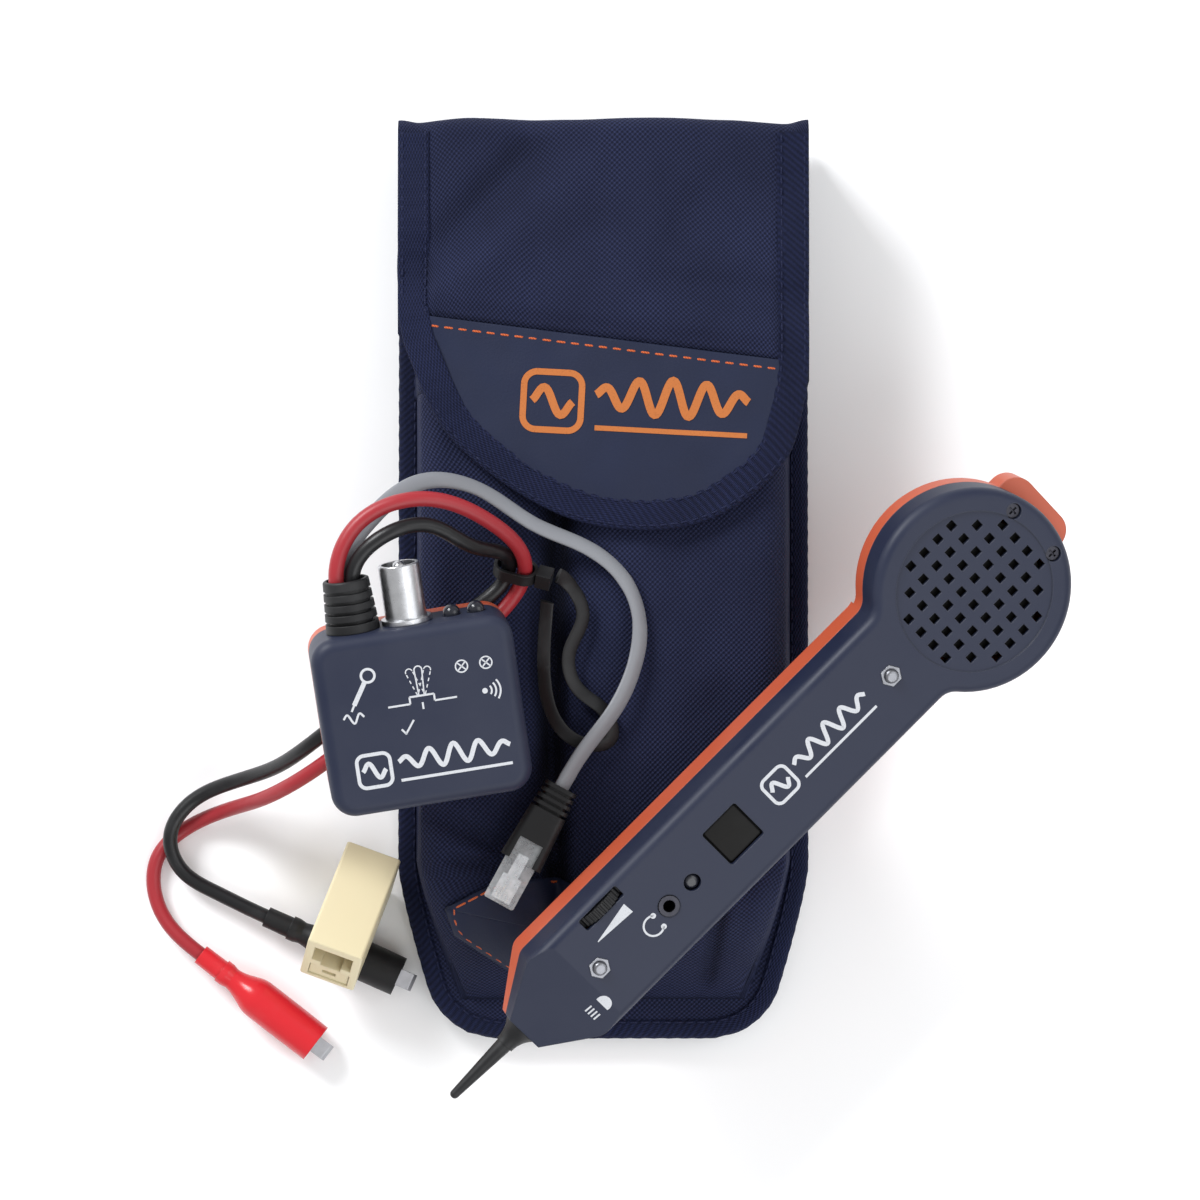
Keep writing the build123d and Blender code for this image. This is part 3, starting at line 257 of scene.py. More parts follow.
def rubber_look(name, colour, roughness, grain):
    """Soft rubber or wire jacket, with fine pores, faint dust and a painted highlight along the edges."""
    look = Look(name, roughness)
    place = look.where("Object")
    pores = look.noise(place, 2600.0, 3.0)
    dust = look.between(look.noise(place, 90.0, 5.0), 0.5, 0.85)
    rounded, edge = look.round_edges(0.4 * MM)
    pale_dust_and_highlight = look.mix(0.02, rgb(colour), rgb(WHITE))
    look.set("Specular IOR Level", 0.35)
    # paler where the faint dust lies, and along the edges as a painted highlight
    look.set("Base Color", look.mix(look.math("MAXIMUM", dust, edge), rgb(colour), pale_dust_and_highlight))
    look.bump(pores, grain, rounded)
    return look.material


def clear_look(name):
    """Clear moulded polycarbonate, slightly milky, with a faint flow pattern."""
    look = Look(name, roughness=0.12, shine=0.6)
    flow = look.noise(look.where("Object"), 350.0, 2.0)
    look.set("Base Color", look.mix(flow, rgb("#dfe4e8"), rgb("#f7f9fa")))
    look.set("Transmission Weight", 0.4)
    look.set("IOR", 1.3)
    look.set("Alpha", look.between(flow, -0.5, 1.6))
    return look.material


def metal_look(name, colour, roughness, brush=(40.0, 40.0, 900.0)):
    """Plated metal with fine drawn lines and small stains."""
    look = Look(name, roughness, metallic=1.0)
    lines = look.noise(look.where("Object", brush), 14.0, 4.0)
    stain = look.between(look.noise(look.where("Object"), 400.0, 4.0), 0.4, 0.9)
    rounded, _ = look.round_edges(0.25 * MM)
    dull = look.mix(0.8, rgb("#000000"), rgb(colour))
    look.set("Base Color", look.mix(stain, rgb(colour), dull))
    look.set("Roughness", look.math("ADD", look.math("MULTIPLY", lines, 0.2), roughness))
    look.bump(lines, 0.012 * MM, rounded)
    return look.material


def board_look(name):
    """Circuit board: solder mask with paler tracks."""
    look = Look(name, roughness=0.35)
    place = look.where("Object")
    lanes = look.node("ShaderNodeTexBrick", {"Vector": place, "Scale": 190.0, "Mortar Size": 0.03})
    look.set("Base Color", look.mix(lanes.outputs["Fac"], rgb("#0c3a20"), rgb("#4f8a55")))
    look.bump(lanes.outputs["Fac"], 0.05 * MM)
    return look.material


def thread_look(name, colour):
    """Twisted sewing thread."""
    look = Look(name, roughness=0.6)
    ply = look.node("ShaderNodeTexWave", {"Vector": look.where("UV"), "Scale": 900.0},
                    bands_direction="DIAGONAL").outputs["Fac"]
    darker = look.mix(0.6, rgb("#000000"), rgb(colour))
    look.set("Base Color", look.mix(ply, darker, rgb(colour)))
    look.set("Specular IOR Level", 0.2)
    look.bump(ply, 0.06 * MM)
    return look.material


def print_look(name, colour):
    """Matt screen-print ink with tiny gaps where it missed the texture."""
    look = Look(name, roughness=0.55)
    gaps = look.between(look.noise(look.where("Object"), 2400.0, 3.0), 0.28, 0.45)
    darker = look.mix(0.8, rgb("#000000"), rgb(colour))
    look.set("Base Color", look.mix(gaps, darker, rgb(colour)))
    look.bump(gaps, 0.02 * MM)
    return look.material


looks = {
    "woven_nylon": cloth_look("woven nylon", NAVY_DARK, NAVY_LIGHT, 1.5 * MM),
    "webbing": cloth_look("webbing", "#0f1326", "#2f3761", 0.9 * MM, ribs=2.2),
    "smooth_vinyl": vinyl_look("smooth vinyl", VINYL),
    "hook_loop": fuzzy_look("hook and loop", "#26262b"),
    "slate_shell": moulded_look("slate shell", SLATE, 0.46, gloss=0.28),
    "orange_shell": moulded_look("orange shell", ORANGE, 0.45),
    "black_rubber": rubber_look("black rubber", BLACK, 0.5, 0.03 * MM),
    "dark_lens": moulded_look("dark lens", "#161822", 0.12, grain=0.004 * MM),
    "clear_plastic": clear_look("clear plastic"),
    "steel": metal_look("steel", "#b9b9bd", 0.22),
    "chrome": metal_look("chrome", "#cfd0d3", 0.2),
    "gold": metal_look("gold", "#e2b04e", 0.2),
    "board": board_look("circuit board"),
    "battery": moulded_look("battery jacket", "#2b2c31", 0.3, edge_highlight_colour="#9a9ca0"),
    "red_wire": rubber_look("red wire", RED_WIRE, 0.38, 0.015 * MM),
    "red_rubber": rubber_look("red boot", RED, 0.22, 0.01 * MM),
    "black_wire": rubber_look("black wire", BLACK, 0.36, 0.015 * MM),
    "grey_cord": rubber_look("grey cord", CORD_GREY, 0.4, 0.012 * MM),
    "ivory": moulded_look("ivory plastic", IVORY, 0.4, radius=0.5 * MM),
}
orange_thread = thread_look("orange thread", THREAD_ORANGE)
navy_thread = thread_look("navy thread", THREAD_NAVY)
white_print = print_look("white print", PRINT_WHITE)
orange_print = print_look("orange print", EMBLEM_ORANGE)

dark_steel = metal_look("dark steel", "#3c3c42", 0.3)
nickel = metal_look("nickel", "#85868b", 0.28)
matt_black = moulded_look("matt black", "#131211", 0.5, gloss=0.12)
special_looks = {
    "headphone_jack": dark_steel,
    "probe_case_screws": dark_steel,
    "probe_button": matt_black,
    "probe_speaker": matt_black,
    "test_terminals": nickel,
    "terminal_nuts": nickel,
}

for cad_name, slot_name in node_slots().items():
    piece = frame["nodes"][cad_name]
    piece.data.materials.clear()
    piece.data.materials.append(special_looks.get(cad_name, looks[slot_name]))


# ================================================================= mesh helpers ====
def add_object(name, vertices, faces, material, uv=None):
    """A mesh object in the scene; uv gives one (u, v) in metres for each vertex."""
    mesh = bpy.data.meshes.new(name)
    mesh.from_pydata([tuple(v) for v in vertices], [], faces)
    if uv is not None:
        layer = mesh.uv_layers.new(name="cloth")
        for loop in mesh.loops:
            layer.data[loop.index].uv = uv[loop.vertex_index]
    mesh.materials.append(material)
    mesh.shade_smooth()
    made = bpy.data.objects.new(name, mesh)
    bpy.context.scene.collection.objects.link(made)
    return made


def grid_faces(columns, rows, wrap=False):
    """Quads of a grid of rows x columns points; wrap joins the last column to the first."""
    last = columns if wrap else columns - 1
    faces = []
    for row in range(rows - 1):
        for column in range(last):
            right = (column + 1) % columns
            faces.append((row * columns + column, row * columns + right,
                          (row + 1) * columns + right, (row + 1) * columns + column))
    return faces


def lay_flat(points):
    """Lengths along a grid's rows and down its columns, as flat cloth coordinates."""
    across = np.linalg.norm(np.diff(points, axis=1), axis=2).cumsum(axis=1)
    across = np.pad(across, ((0, 0), (1, 0)))
    across -= across[:, [points.shape[1] // 2]]
    down = np.linalg.norm(np.diff(points, axis=0), axis=2).cumsum(axis=0)
    down = np.pad(down, ((1, 0), (0, 0)))
    return np.stack([across, down], axis=2).reshape(-1, 2)


def sheet(name, point, columns, rows, thickness, slot, material=None, offset=-1.0):
    """Cloth from a point(u, v) function in mm, u and v from 0 to 1, given a thickness in mm."""
    grid = np.array([[point(c / columns, r / rows) for c in range(columns + 1)]
                     for r in range(rows + 1)]) * MM
    made = add_object(name, grid.reshape(-1, 3), grid_faces(columns + 1, rows + 1),
                      material or looks[slot], lay_flat(grid))
    solid = made.modifiers.new("thickness", "SOLIDIFY")
    solid.thickness = thickness * MM
    solid.offset = offset
    return settle(made)


def settle(made):
    """Applies an object's modifiers, so that its mesh is final."""
    graph = bpy.context.evaluated_depsgraph_get()
    made.data = bpy.data.meshes.new_from_object(made.evaluated_get(graph))
    made.modifiers.clear()
    return made


def sweep(name, path, ring, material, closed=False):
    """A ring of (side, up) offsets in mm carried along path, a list of (point, side, up)."""
    vertices = []
    for point, side, up in path:
        vertices += [Vector(point) + side * s + up * u for s, u in ring]
    grid = np.array([list(v) for v in vertices]).reshape(len(path), len(ring), 3) * MM
    if closed:
        grid = np.concatenate([grid, grid[:1]])
    faces = grid_faces(len(ring), len(grid), wrap=True)
    if not closed:
        faces.append(tuple(reversed(range(len(ring)))))
        faces.append(tuple(range((len(grid) - 1) * len(ring), len(grid) * len(ring))))
    return add_object(name, grid.reshape(-1, 3), faces, material, lay_flat(grid))


def flat_ring(width, thickness, steps=6):
    """Cross-section of a tape with rounded edges."""
    r = thickness / 2
    half = width / 2 - r
    right = [(half + r * sin(a), -r * cos(a)) for a in np.linspace(0, pi, steps)]
    top = [(x, r) for x in np.linspace(half, -half, 7)[1:-1]]
    left = [(-half - r * sin(a), r * cos(a)) for a in np.linspace(0, pi, steps)]
    bottom = [(x, -r) for x in np.linspace(-half, half, 7)[1:-1]]
    return right + top + left + bottom


def resample(points, pitch):
    """Points spaced evenly by about pitch along a polyline of Vectors."""
    points = [Vector(p) for p in points]
    lengths = [0.0]
    for a, b in zip(points, points[1:]):
        lengths.append(lengths[-1] + (b - a).length)
    count = max(2, round(lengths[-1] / pitch) + 1)
    spaced = []
    for want in np.linspace(0, lengths[-1], count):
        k = min(int(np.searchsorted(lengths, want, side="right")), len(points) - 1)
        share = (want - lengths[k - 1]) / max(lengths[k] - lengths[k - 1], 1e-9)
        spaced.append(points[k - 1].lerp(points[k], min(1.0, share)))
    return spaced


def on_surface(path, surface, lift):
    """Points of a plan path laid on a surface(x, y) height, raised by lift."""
    return [Vector((p[0], p[1], surface(p[0], p[1]) + lift)) for p in path]


def surface_frames(points, surface, closed=False):
    """(point, side, up) along points that lie on a surface(x, y) height."""
    frames = []
    for k, point in enumerate(points):
        before = points[k - 1] if k or closed else point
        after = points[(k + 1) % len(points)] if k + 1 < len(points) or closed else point
        ahead = (after - before).normalized()
        x, y = point.x, point.y
        slope = Vector((surface(x - 0.5, y) - surface(x + 0.5, y),
                        surface(x, y - 0.5) - surface(x, y + 0.5), 1.0)).normalized()
        side = ahead.cross(slope).normalized()
        frames.append((point, side, side.cross(ahead).normalized()))
    return frames


def stitches(name, points, pitch, length, thread, material, body, normal=Vector((0, 0, 1))):
    """A row of running stitches: short threads that dip into the cloth at both ends."""
    vertices, faces = [], []
    sides, rings = 6, 7
    spaced = resample(points, pitch)
    for a, b in zip(spaced, spaced[1:]):
        ahead = (b - a).normalized()
        side = ahead.cross(normal).normalized()
        up = side.cross(ahead)
        start = len(vertices)
        for ring in range(rings):
            share = ring / (rings - 1)
            arch = sin(pi * share) ** 0.5
            centre = a + ahead * (length * share) + up * (thread * (arch - 1.0))
            for turn in range(sides):
                angle = 2 * pi * turn / sides
                vertices.append(centre + side * thread * cos(angle) + up * 0.6 * thread * sin(angle))
        faces += [tuple(start + i for i in face) for face in grid_faces(sides, rings, wrap=True)]
    grid = [v * MM for v in vertices]
    made = add_object(name, grid, faces, material, [(v.x, v.y) for v in grid])
    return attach(made, body)


# pitch, length and radius of the stitches, mm
TAPE_STITCH = (3.1, 2.1, 0.3)
SEAM_STITCH = (3.2, 2.2, 0.32)
PANEL_STITCH = (3.4, 2.3, 0.33)
LOOP_STITCH = (3.4, 2.3, 0.35)
PAD_STITCH = (3.2, 2.2, 0.28)
BRIGHT_STITCH = (4.2, 2.9, 0.32)


# ============================================================ pouch: measurements ====
def box_mm(node):
    low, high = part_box(node)
    return low / MM, high / MM


panel_low, panel_high = box_mm("pouch_back_panel")
pocket_low, pocket_high = box_mm("pouch_front_pockets")
_, flap_high = box_mm("flap_panel")
loop_low, loop_high = box_mm("belt_loop")

POCKET_HALF = pocket_high.x
POCKET_FLOOR = pocket_low.z
POCKET_TOP = pocket_high.z
MOUTH_Y = pocket_high.y
FOOT_Y = pocket_low.y
PANEL_HALF = panel_high.x
FRONT_LEAN = 2.0  # the pocket front is this much narrower each side than its base
CORNER_R = 8.0
TAPER_Y = -84.0  # below this the sides lean in towards the foot
FOOT_LEAN = 13.5
SLOPE_Y = -90.0  # below this the pocket front slopes down to the foot


def lean_in(y, start, end, amount):
    """How far a side has moved in at y, with soft bends at both ends of the lean."""
    t = min(1.0, max(0.0, (start - y) / (start - end)))
    return amount * (t ** 1.25)


def pocket_half(y):
    return POCKET_HALF - lean_in(y, TAPER_Y, FOOT_Y, FOOT_LEAN)


def pocket_depth(y):
    """Height of the pocket front above the back panel at y."""
    t = min(1.0, max(0.0, (SLOPE_Y - y) / (SLOPE_Y - FOOT_Y)))
    return (POCKET_TOP - POCKET_FLOOR) * (1 - t ** 1.7)


def to_line(x, y, start, end):
    """Distance from a point to a straight line, and how far along it that is, 0 to 1."""
    run = (end[0] - start[0], end[1] - start[1])
    size = hypot(*run)
    along = ((x - start[0]) * run[0] + (y - start[1]) * run[1]) / size ** 2
    apart = ((x - start[0]) * run[1] - (y - start[1]) * run[0]) / size
    return apart, along


def fold(x, y, start, end, width, depth):
    """A soft valley along a line, fading out at both ends."""
    apart, along = to_line(x, y, start, end)
    ends = smooth(0.0, 0.2, along) * smooth(1.0, 0.8, along)
    return -depth * ends * hump(apart, 0, width)


def pocket_relief(x, y):
    """Creases and wrinkles of the pocket front, mm below its smooth shape."""
    crease_x = -14.0 + 1.3 * sin(y / 26)
    crease_run = smooth(-112, -96, y) * smooth(58, 30, y)
    relief = -6.0 * crease_run * hump(x, crease_x, 3.4)
    relief -= 3.0 * crease_run * hump(x, crease_x, 12.0)
    relief += fold(x, y, (-56, -66), (-6, -92), 3.4, 2.4)
    relief += fold(x, y, (-50, -82), (-16, -86), 2.2, 1.6)
    relief += fold(x, y, (58, -70), (34, -94), 2.6, 2.8)
    relief += fold(x, y, (36, -84), (30, -128), 2.4, 3.0)
    relief += fold(x, y, (52, -20), (47, -96), 4.5, 1.8)
    relief += fold(x, y, (20, 30), (44, -70), 9.0, 1.4)
    relief += fold(x, y, (-46, 20), (-36, -80), 8.0, 1.6)
    relief -= 1.6 * (0.5 + 0.5 * noise.noise(Vector((x * 0.045, y * 0.022, 1.7))))
    relief -= 0.8 * (0.5 + 0.5 * noise.noise(Vector((x * 0.13, y * 0.09, 4.1))))
    return relief


def pocket_surface(x, y):
    """Height of the pockets' outer face over a point of the plan."""
    half = pocket_half(y) - FRONT_LEAN
    depth = pocket_depth(y)
    radius = min(CORNER_R, depth * 0.6)
    past = min(radius, max(0.0, abs(x) - (half - radius)))
    drop = radius - sqrt(max(0.0, radius ** 2 - past ** 2))
    flatness = smooth(0, 14, depth) * smooth(0.2, 5.0, half + 2 - abs(x))
    return POCKET_FLOOR + depth - drop + flatness * pocket_relief(x, y)


WALL_SHARE = 0.14  # part of the cross-section's columns spent on each side wall


def pocket_point(u, v):
    """Outer face of the pockets: up one side wall, across the front, down the other."""
    y = MOUTH_Y + (FOOT_Y - MOUTH_Y) * v
    half = pocket_half(y) - FRONT_LEAN
    depth = pocket_depth(y)
    wall_top = depth - min(CORNER_R, depth * 0.6)
    ripple = 0.6 * noise.noise(Vector((y * 0.05, 8.0 if u < 0.5 else 3.0, 0)))
    for edge, share in ((-1, u), (1, 1 - u)):
        if share < WALL_SHARE:
            rise = share / WALL_SHARE
            x = edge * (half + FRONT_LEAN * (1 - rise) + ripple * sin(pi * rise))
            return (x, y, POCKET_FLOOR + wall_top * rise)
    across = (u - WALL_SHARE) / (1 - 2 * WALL_SHARE) * 2 - 1
    x = half * sin(across * pi / 2) * 0.35 + half * across * 0.65
    return (x, y, pocket_surface(x, y))


# ================================================================ pouch: pockets ====
def make_pockets():
    skin = sheet("pocket_fabric", pocket_point, 150, 170, 1.8, "woven_nylon", offset=1.0)
    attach(skin, "pouch")
    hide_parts("pouch_front_pockets")

    # tape folded over the mouth's raw edge
    rim = [Vector(pocket_point(c / 120, 0.0)) for c in range(121)]
    path = []
    for k, point in enumerate(rim):
        ahead = (rim[min(k + 1, 120)] - rim[max(k - 1, 0)]).normalized()
        path.append((point + Vector((0, -3.0, 0)), Vector((0, 1, 0)), ahead.cross(Vector((0, 1, 0)))))
    path = [(point - up * 0.9, side, up) for point, side, up in path]
    tape = sweep("pocket_mouth_tape", path, flat_ring(9.0, 3.0), looks["webbing"])
    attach(tape, "pouch")
    hem = [point + Vector((0, -5.6, 0)) + (Vector((0, 0, 1.1))) for point in rim[20:101]]
    stitches("pocket_mouth_stitches", hem, *SEAM_STITCH, navy_thread, "pouch")


def make_divider():
    """The wall between the two pockets."""
    low, high = box_mm("pocket_divider")
    x = (low.x + high.x) / 2

    def point(u, v):
        y = high.y - 2 - (high.y - 2 - low.y) * v
        top = pocket_surface(x, y) - 1.6
        z = POCKET_FLOOR + 0.3 + (top - POCKET_FLOOR - 0.3) * u
        sway = 2.2 * sin(pi * u) * sin(3 * pi * v) + 1.0 * noise.noise(Vector((y * 0.06, z * 0.08, 2)))
        return (x + sway, y, z)

    wall = sheet("divider_fabric", point, 24, 110, 1.3, "woven_nylon", offset=0.0)
    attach(wall, "pouch")
    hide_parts("pocket_divider")


# ============================================================= pouch: back panel ====
def panel_half(y):
    half = PANEL_HALF - lean_in(y, TAPER_Y - 2, panel_low.y, 13.5)
    foot_r = 14.0
    past = min(foot_r, max(0.0, panel_low.y + foot_r - y))
    return half - (foot_r - sqrt(max(0.0, foot_r ** 2 - past ** 2)))


def make_back_panel():
    mid = (panel_low.z + panel_high.z) / 2

    def point(u, v):
        y = panel_high.y - (panel_high.y - panel_low.y) * v
        x = (2 * u - 1) * panel_half(y)
        quilt = 0.35 * noise.noise(Vector((x * 0.05, y * 0.04, 6.0)))
        return (x, y, mid + quilt)

    panel = sheet("back_panel_fabric", point, 70, 150, panel_high.z - panel_low.z - 0.6,
                  "woven_nylon", offset=0.0)
    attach(panel, "pouch")
    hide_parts("pouch_back_panel")

    # binding wrapped round the panel's edge, from one top corner round the foot to the other
    side = [(panel_half(y), y) for y in np.linspace(127, panel_low.y, 150)]
    outline = side + [(-x, y) for x, y in reversed(side)]
    path = []
    points = resample([(x, y, mid) for x, y in outline], 1.4)
    for k, point in enumerate(points):
        ahead = (points[min(k + 1, len(points) - 1)] - points[max(k - 1, 0)]).normalized()
        outward = Vector((-ahead.y, ahead.x, 0)) * -1
        outward = outward if outward.dot(Vector((point.x, point.y + 20, 0))) > 0 else -outward
        pucker = 0.08 * sin(k * 1.9)
        path.append((point - outward * (1.6 - pucker), outward, Vector((0, 0, 1))))
    tape = sweep("back_edge_tape", path, flat_ring(6.4, 4.3), looks["webbing"])
    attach(tape, "pouch")
    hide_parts("pouch_back_binding")
    for name, z in (("back_edge_stitches_front", 2.2), ("back_edge_stitches_rear", -2.2)):
        row = [point - outward * 1.9 + Vector((0, 0, z)) for point, outward, up in path]
        stitches(name, row, *PANEL_STITCH, navy_thread, "pouch", Vector((0, 0, z)).normalized())


def make_belt_loop():
    """Webbing strip behind the pouch: sewn to the panel at both ends, clear of it between."""
    length = loop_high.y - loop_low.y
    middle = (loop_high.y + loop_low.y) / 2
    seam = 15.0

    def point(u, v):
        along = (0.5 - v) * length
        reach = length / 2 - abs(along)
        lift = smooth(seam + 6, seam - 6, reach)
        sag = 0.1 * noise.noise(Vector((u * 3, v * 9, 0)))
        z = 0.95 + (panel_low.z - 1.65) * lift + sag * (1 - lift)
        return (loop_low.x + (loop_high.x - loop_low.x) * u, middle + along, z)

    strip = sheet("belt_loop_webbing", point, 60, 150, 1.3, "webbing", offset=0.0)
    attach(strip, "pouch")
    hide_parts("belt_loop")
    for end, label in ((1, "top"), (-1, "foot")):
        rows = []
        for inset in (3.0, 9.0):
            y = middle + end * (length / 2 - inset)
            rows.append([(loop_low.x + 4, y), (loop_high.x - 4, y)])
        corners = rows[0] + rows[1][::-1] + [rows[0][0], rows[1][1]]
        box_path = [Vector((x, y, panel_low.z - 1.45)) for x, y in corners]
        stitches(f"belt_loop_{label}_stitches", box_path, *LOOP_STITCH, navy_thread, "pouch",
                 Vector((0, 0, -1)))


make_pockets()
make_divider()
make_back_panel()
make_belt_loop()


# ========================================================================== flap ====
FLAP_HALF = flap_high.x
FLAP_TOP_Y = flap_high.y
FLAP_FACE = flap_high.z
FLAP_T = 1.7
BINDING_W = 9.5
# lower edge of the flap, as (x, y) from its left corner to its right one
FLAP_EDGE = [(-60.5, 72), (-44, 40), (-10, 17.5), (26, 15.5), (52.5, 33), (60.5, 58)]
PATCH_LEFT = (-52.5, 77.2)  # ends of the patch's straight upper edge
PATCH_RIGHT = (52.5, 64.0)


def through(points, steps=16):
    """A smooth curve through plan points, as Vectors."""
    padded = [2 * Vector(points[0]) - Vector(points[1])] + [Vector(p) for p in points]
    padded.append(2 * Vector(points[-1]) - Vector(points[-2]))
    curve = []
    for a, b, c, d in zip(padded, padded[1:], padded[2:], padded[3:]):
        for k in range(steps):
            t = k / steps
            curve.append(0.5 * (2 * b + (c - a) * t + (2 * a - 5 * b + 4 * c - d) * t * t
                                + (3 * b - a - 3 * c + d) * t ** 3))
    return curve + [Vector(points[-1])]


edge_curve = through(FLAP_EDGE)
edge_x = [p.x for p in edge_curve]
edge_y = [p.y for p in edge_curve]


def flap_edge(x):
    """Y of the flap's lower edge."""
    return float(np.interp(x, edge_x, edge_y))


def patch_edge(x):
    """Y of the step where the woven flap ends and the smooth patch starts."""
    share = (x - PATCH_LEFT[0]) / (PATCH_RIGHT[0] - PATCH_LEFT[0])
    return PATCH_LEFT[1] + (PATCH_RIGHT[1] - PATCH_LEFT[1]) * share


def flap_surface(x, y):
    """Height of the closed flap's outer face."""
    z = FLAP_FACE
    z += 1.1 * smooth(-60, 0, x) * smooth(60, 0, x) * smooth(130, 95, y) * smooth(40, 95, y)
    z -= 1.6 * smooth(50, 62, abs(x))
    z -= 1.3 * smooth(14, 0, y - flap_edge(x))
    z += fold(x, y, (-62, 82), (-14, 132), 7.0, 3.4)
    z += fold(x, y, (-46, 84), (4, 126), 9.0, -1.5)
    z += fold(x, y, (8, 88), (70, 80), 6.0, 2.0)
    z += fold(x, y, (14, 104), (62, 118), 10.0, 1.4)
    z += 0.9 * noise.noise(Vector((x * 0.04, y * 0.03, 5.5)))
    z += 0.4 * noise.noise(Vector((x * 0.12, y * 0.1, 9.5)))
    # the woven part is a doubled layer that ends in a step above the patch
    above = y - patch_edge(x)
    step = smooth(-0.3, 1.0, above) * smooth(54, 49, abs(x))
    curl = smooth(0.0, 7.0, above)
    return z + step * smooth(34, 8, above) * (0.6 + 1.4 * curl) - 0.7 * (1 - step)


HEM_Y = 120.0  # where the flap's hem ends on the panel's rear
HEM_Z = panel_low.z - 0.3
BEND_R = 5.0  # softness of the flap's top edge
TAPE_TOP_Y = FLAP_TOP_Y - BEND_R - 0.3  # the binding stops where the top edge bends away


def flap_point(u, v):
    """Cloth from the hem behind the panel, over the top edge and down to the lower edge."""
    x = FLAP_HALF * (2 * u - 1)
    edge = flap_edge(x)
    top_y = FLAP_TOP_Y - 0.9 - 1.1 * smooth(38, 54, abs(x)) * (1 - smooth(54, 60, abs(x)))
    wall_y = top_y + 0.35 * sin(x * 0.11)
    face = flap_surface(x, wall_y - BEND_R)
    runs = [wall_y - HEM_Y, face - HEM_Z - BEND_R, BEND_R * pi / 2, wall_y - BEND_R - edge]
    walked = v * sum(runs)
    if walked < runs[0]:
        return (x, HEM_Y + walked, HEM_Z)
    walked -= runs[0]
    if walked < runs[1]:
        bulge = 0.8 * sin(pi * walked / runs[1]) * (noise.noise(Vector((x * 0.05, walked * 0.06, 1))) - 0.6)
        return (x, wall_y + bulge, HEM_Z + walked)
    walked -= runs[1]
    if walked < runs[2]:
        turn = walked / BEND_R
        return (x, wall_y - BEND_R * (1 - cos(turn)), face - BEND_R * (1 - sin(turn)))
    walked -= runs[2]
    y = wall_y - BEND_R - walked
    return (x, y, flap_surface(x, y))


def make_flap():
    cloth = sheet("flap_fabric", flap_point, 130, 190, FLAP_T, "woven_nylon", offset=1.0)
    hinge = Vector(joint("flap_hinge")["pos_m"])
    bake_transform(cloth)
    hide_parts("flap_panel")


def inset_outline(inset):
    """The flap's outline moved inwards: down the left side, along the lower edge, up the right."""
    left = [(-FLAP_HALF + inset, y) for y in np.linspace(TAPE_TOP_Y, 78, 30)]
    curve = []
    for k, p in enumerate(edge_curve[2:-2]):
        ahead = (edge_curve[k + 3] - edge_curve[k + 1]).normalized()
        moved = p + Vector((-ahead.y, ahead.x)) * inset
        if abs(moved.x) < FLAP_HALF - inset and moved.y < 77:
            curve.append((moved.x, moved.y))
    right = [(FLAP_HALF - inset, y) for y in np.linspace(64, TAPE_TOP_Y, 36)]
    return left + curve + right


def make_flap_binding():
    outline = resample([(x, y, 0) for x, y in inset_outline(BINDING_W / 2)], 1.3)
    points = on_surface(outline, flap_surface, 0.35)
    frames = []
    for k, (point, side, up) in enumerate(surface_frames(points, flap_surface)):
        frames.append((point + up * 0.1 * sin(k * 1.7), side, up))
    tape = sweep("flap_edge_tape", frames, flat_ring(BINDING_W, 1.5), looks["webbing"])
    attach(tape, "flap")
    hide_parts("flap_binding")
    for name, inset in (("flap_tape_stitches_inner", BINDING_W - 1.3), ("flap_tape_stitches_outer", 1.4)):
        row = resample([(x, y, 0) for x, y in inset_outline(inset)], 1.5)
        stitches(name, on_surface(row, flap_surface, 1.15), *TAPE_STITCH, navy_thread, "flap")


def make_flap_patch():
    """Smooth patch over the lower part of the flap, inside the binding."""
    def point(u, v):
        x = PATCH_LEFT[0] + 0.5 + (PATCH_RIGHT[0] - PATCH_LEFT[0] - 1.0) * u
        top = patch_edge(x) - 0.2
        low = min(top - 0.5, inner_edge(x))
        y = top + (low - top) * v
        return (x, y, flap_surface(x, y) + 0.75)

    inner = [p for p in inset_outline(BINDING_W - 1.5) if p[1] < 76]
    inner_x = [p[0] for p in inner]
    inner_y = [p[1] for p in inner]

    def inner_edge(x):
        return float(np.interp(x, inner_x, inner_y))

    patch = sheet("flap_vinyl", point, 110, 70, 0.6, "smooth_vinyl", offset=0.0)
    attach(patch, "flap")
    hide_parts("flap_patch")
    along = np.linspace(PATCH_LEFT[0] + 1.5, PATCH_RIGHT[0] - 0.5, 60)
    row = on_surface([(x, patch_edge(x) - 3.0) for x in along], flap_surface, 1.1)
    stitches("flap_patch_stitches", row, *BRIGHT_STITCH, orange_thread, "flap")


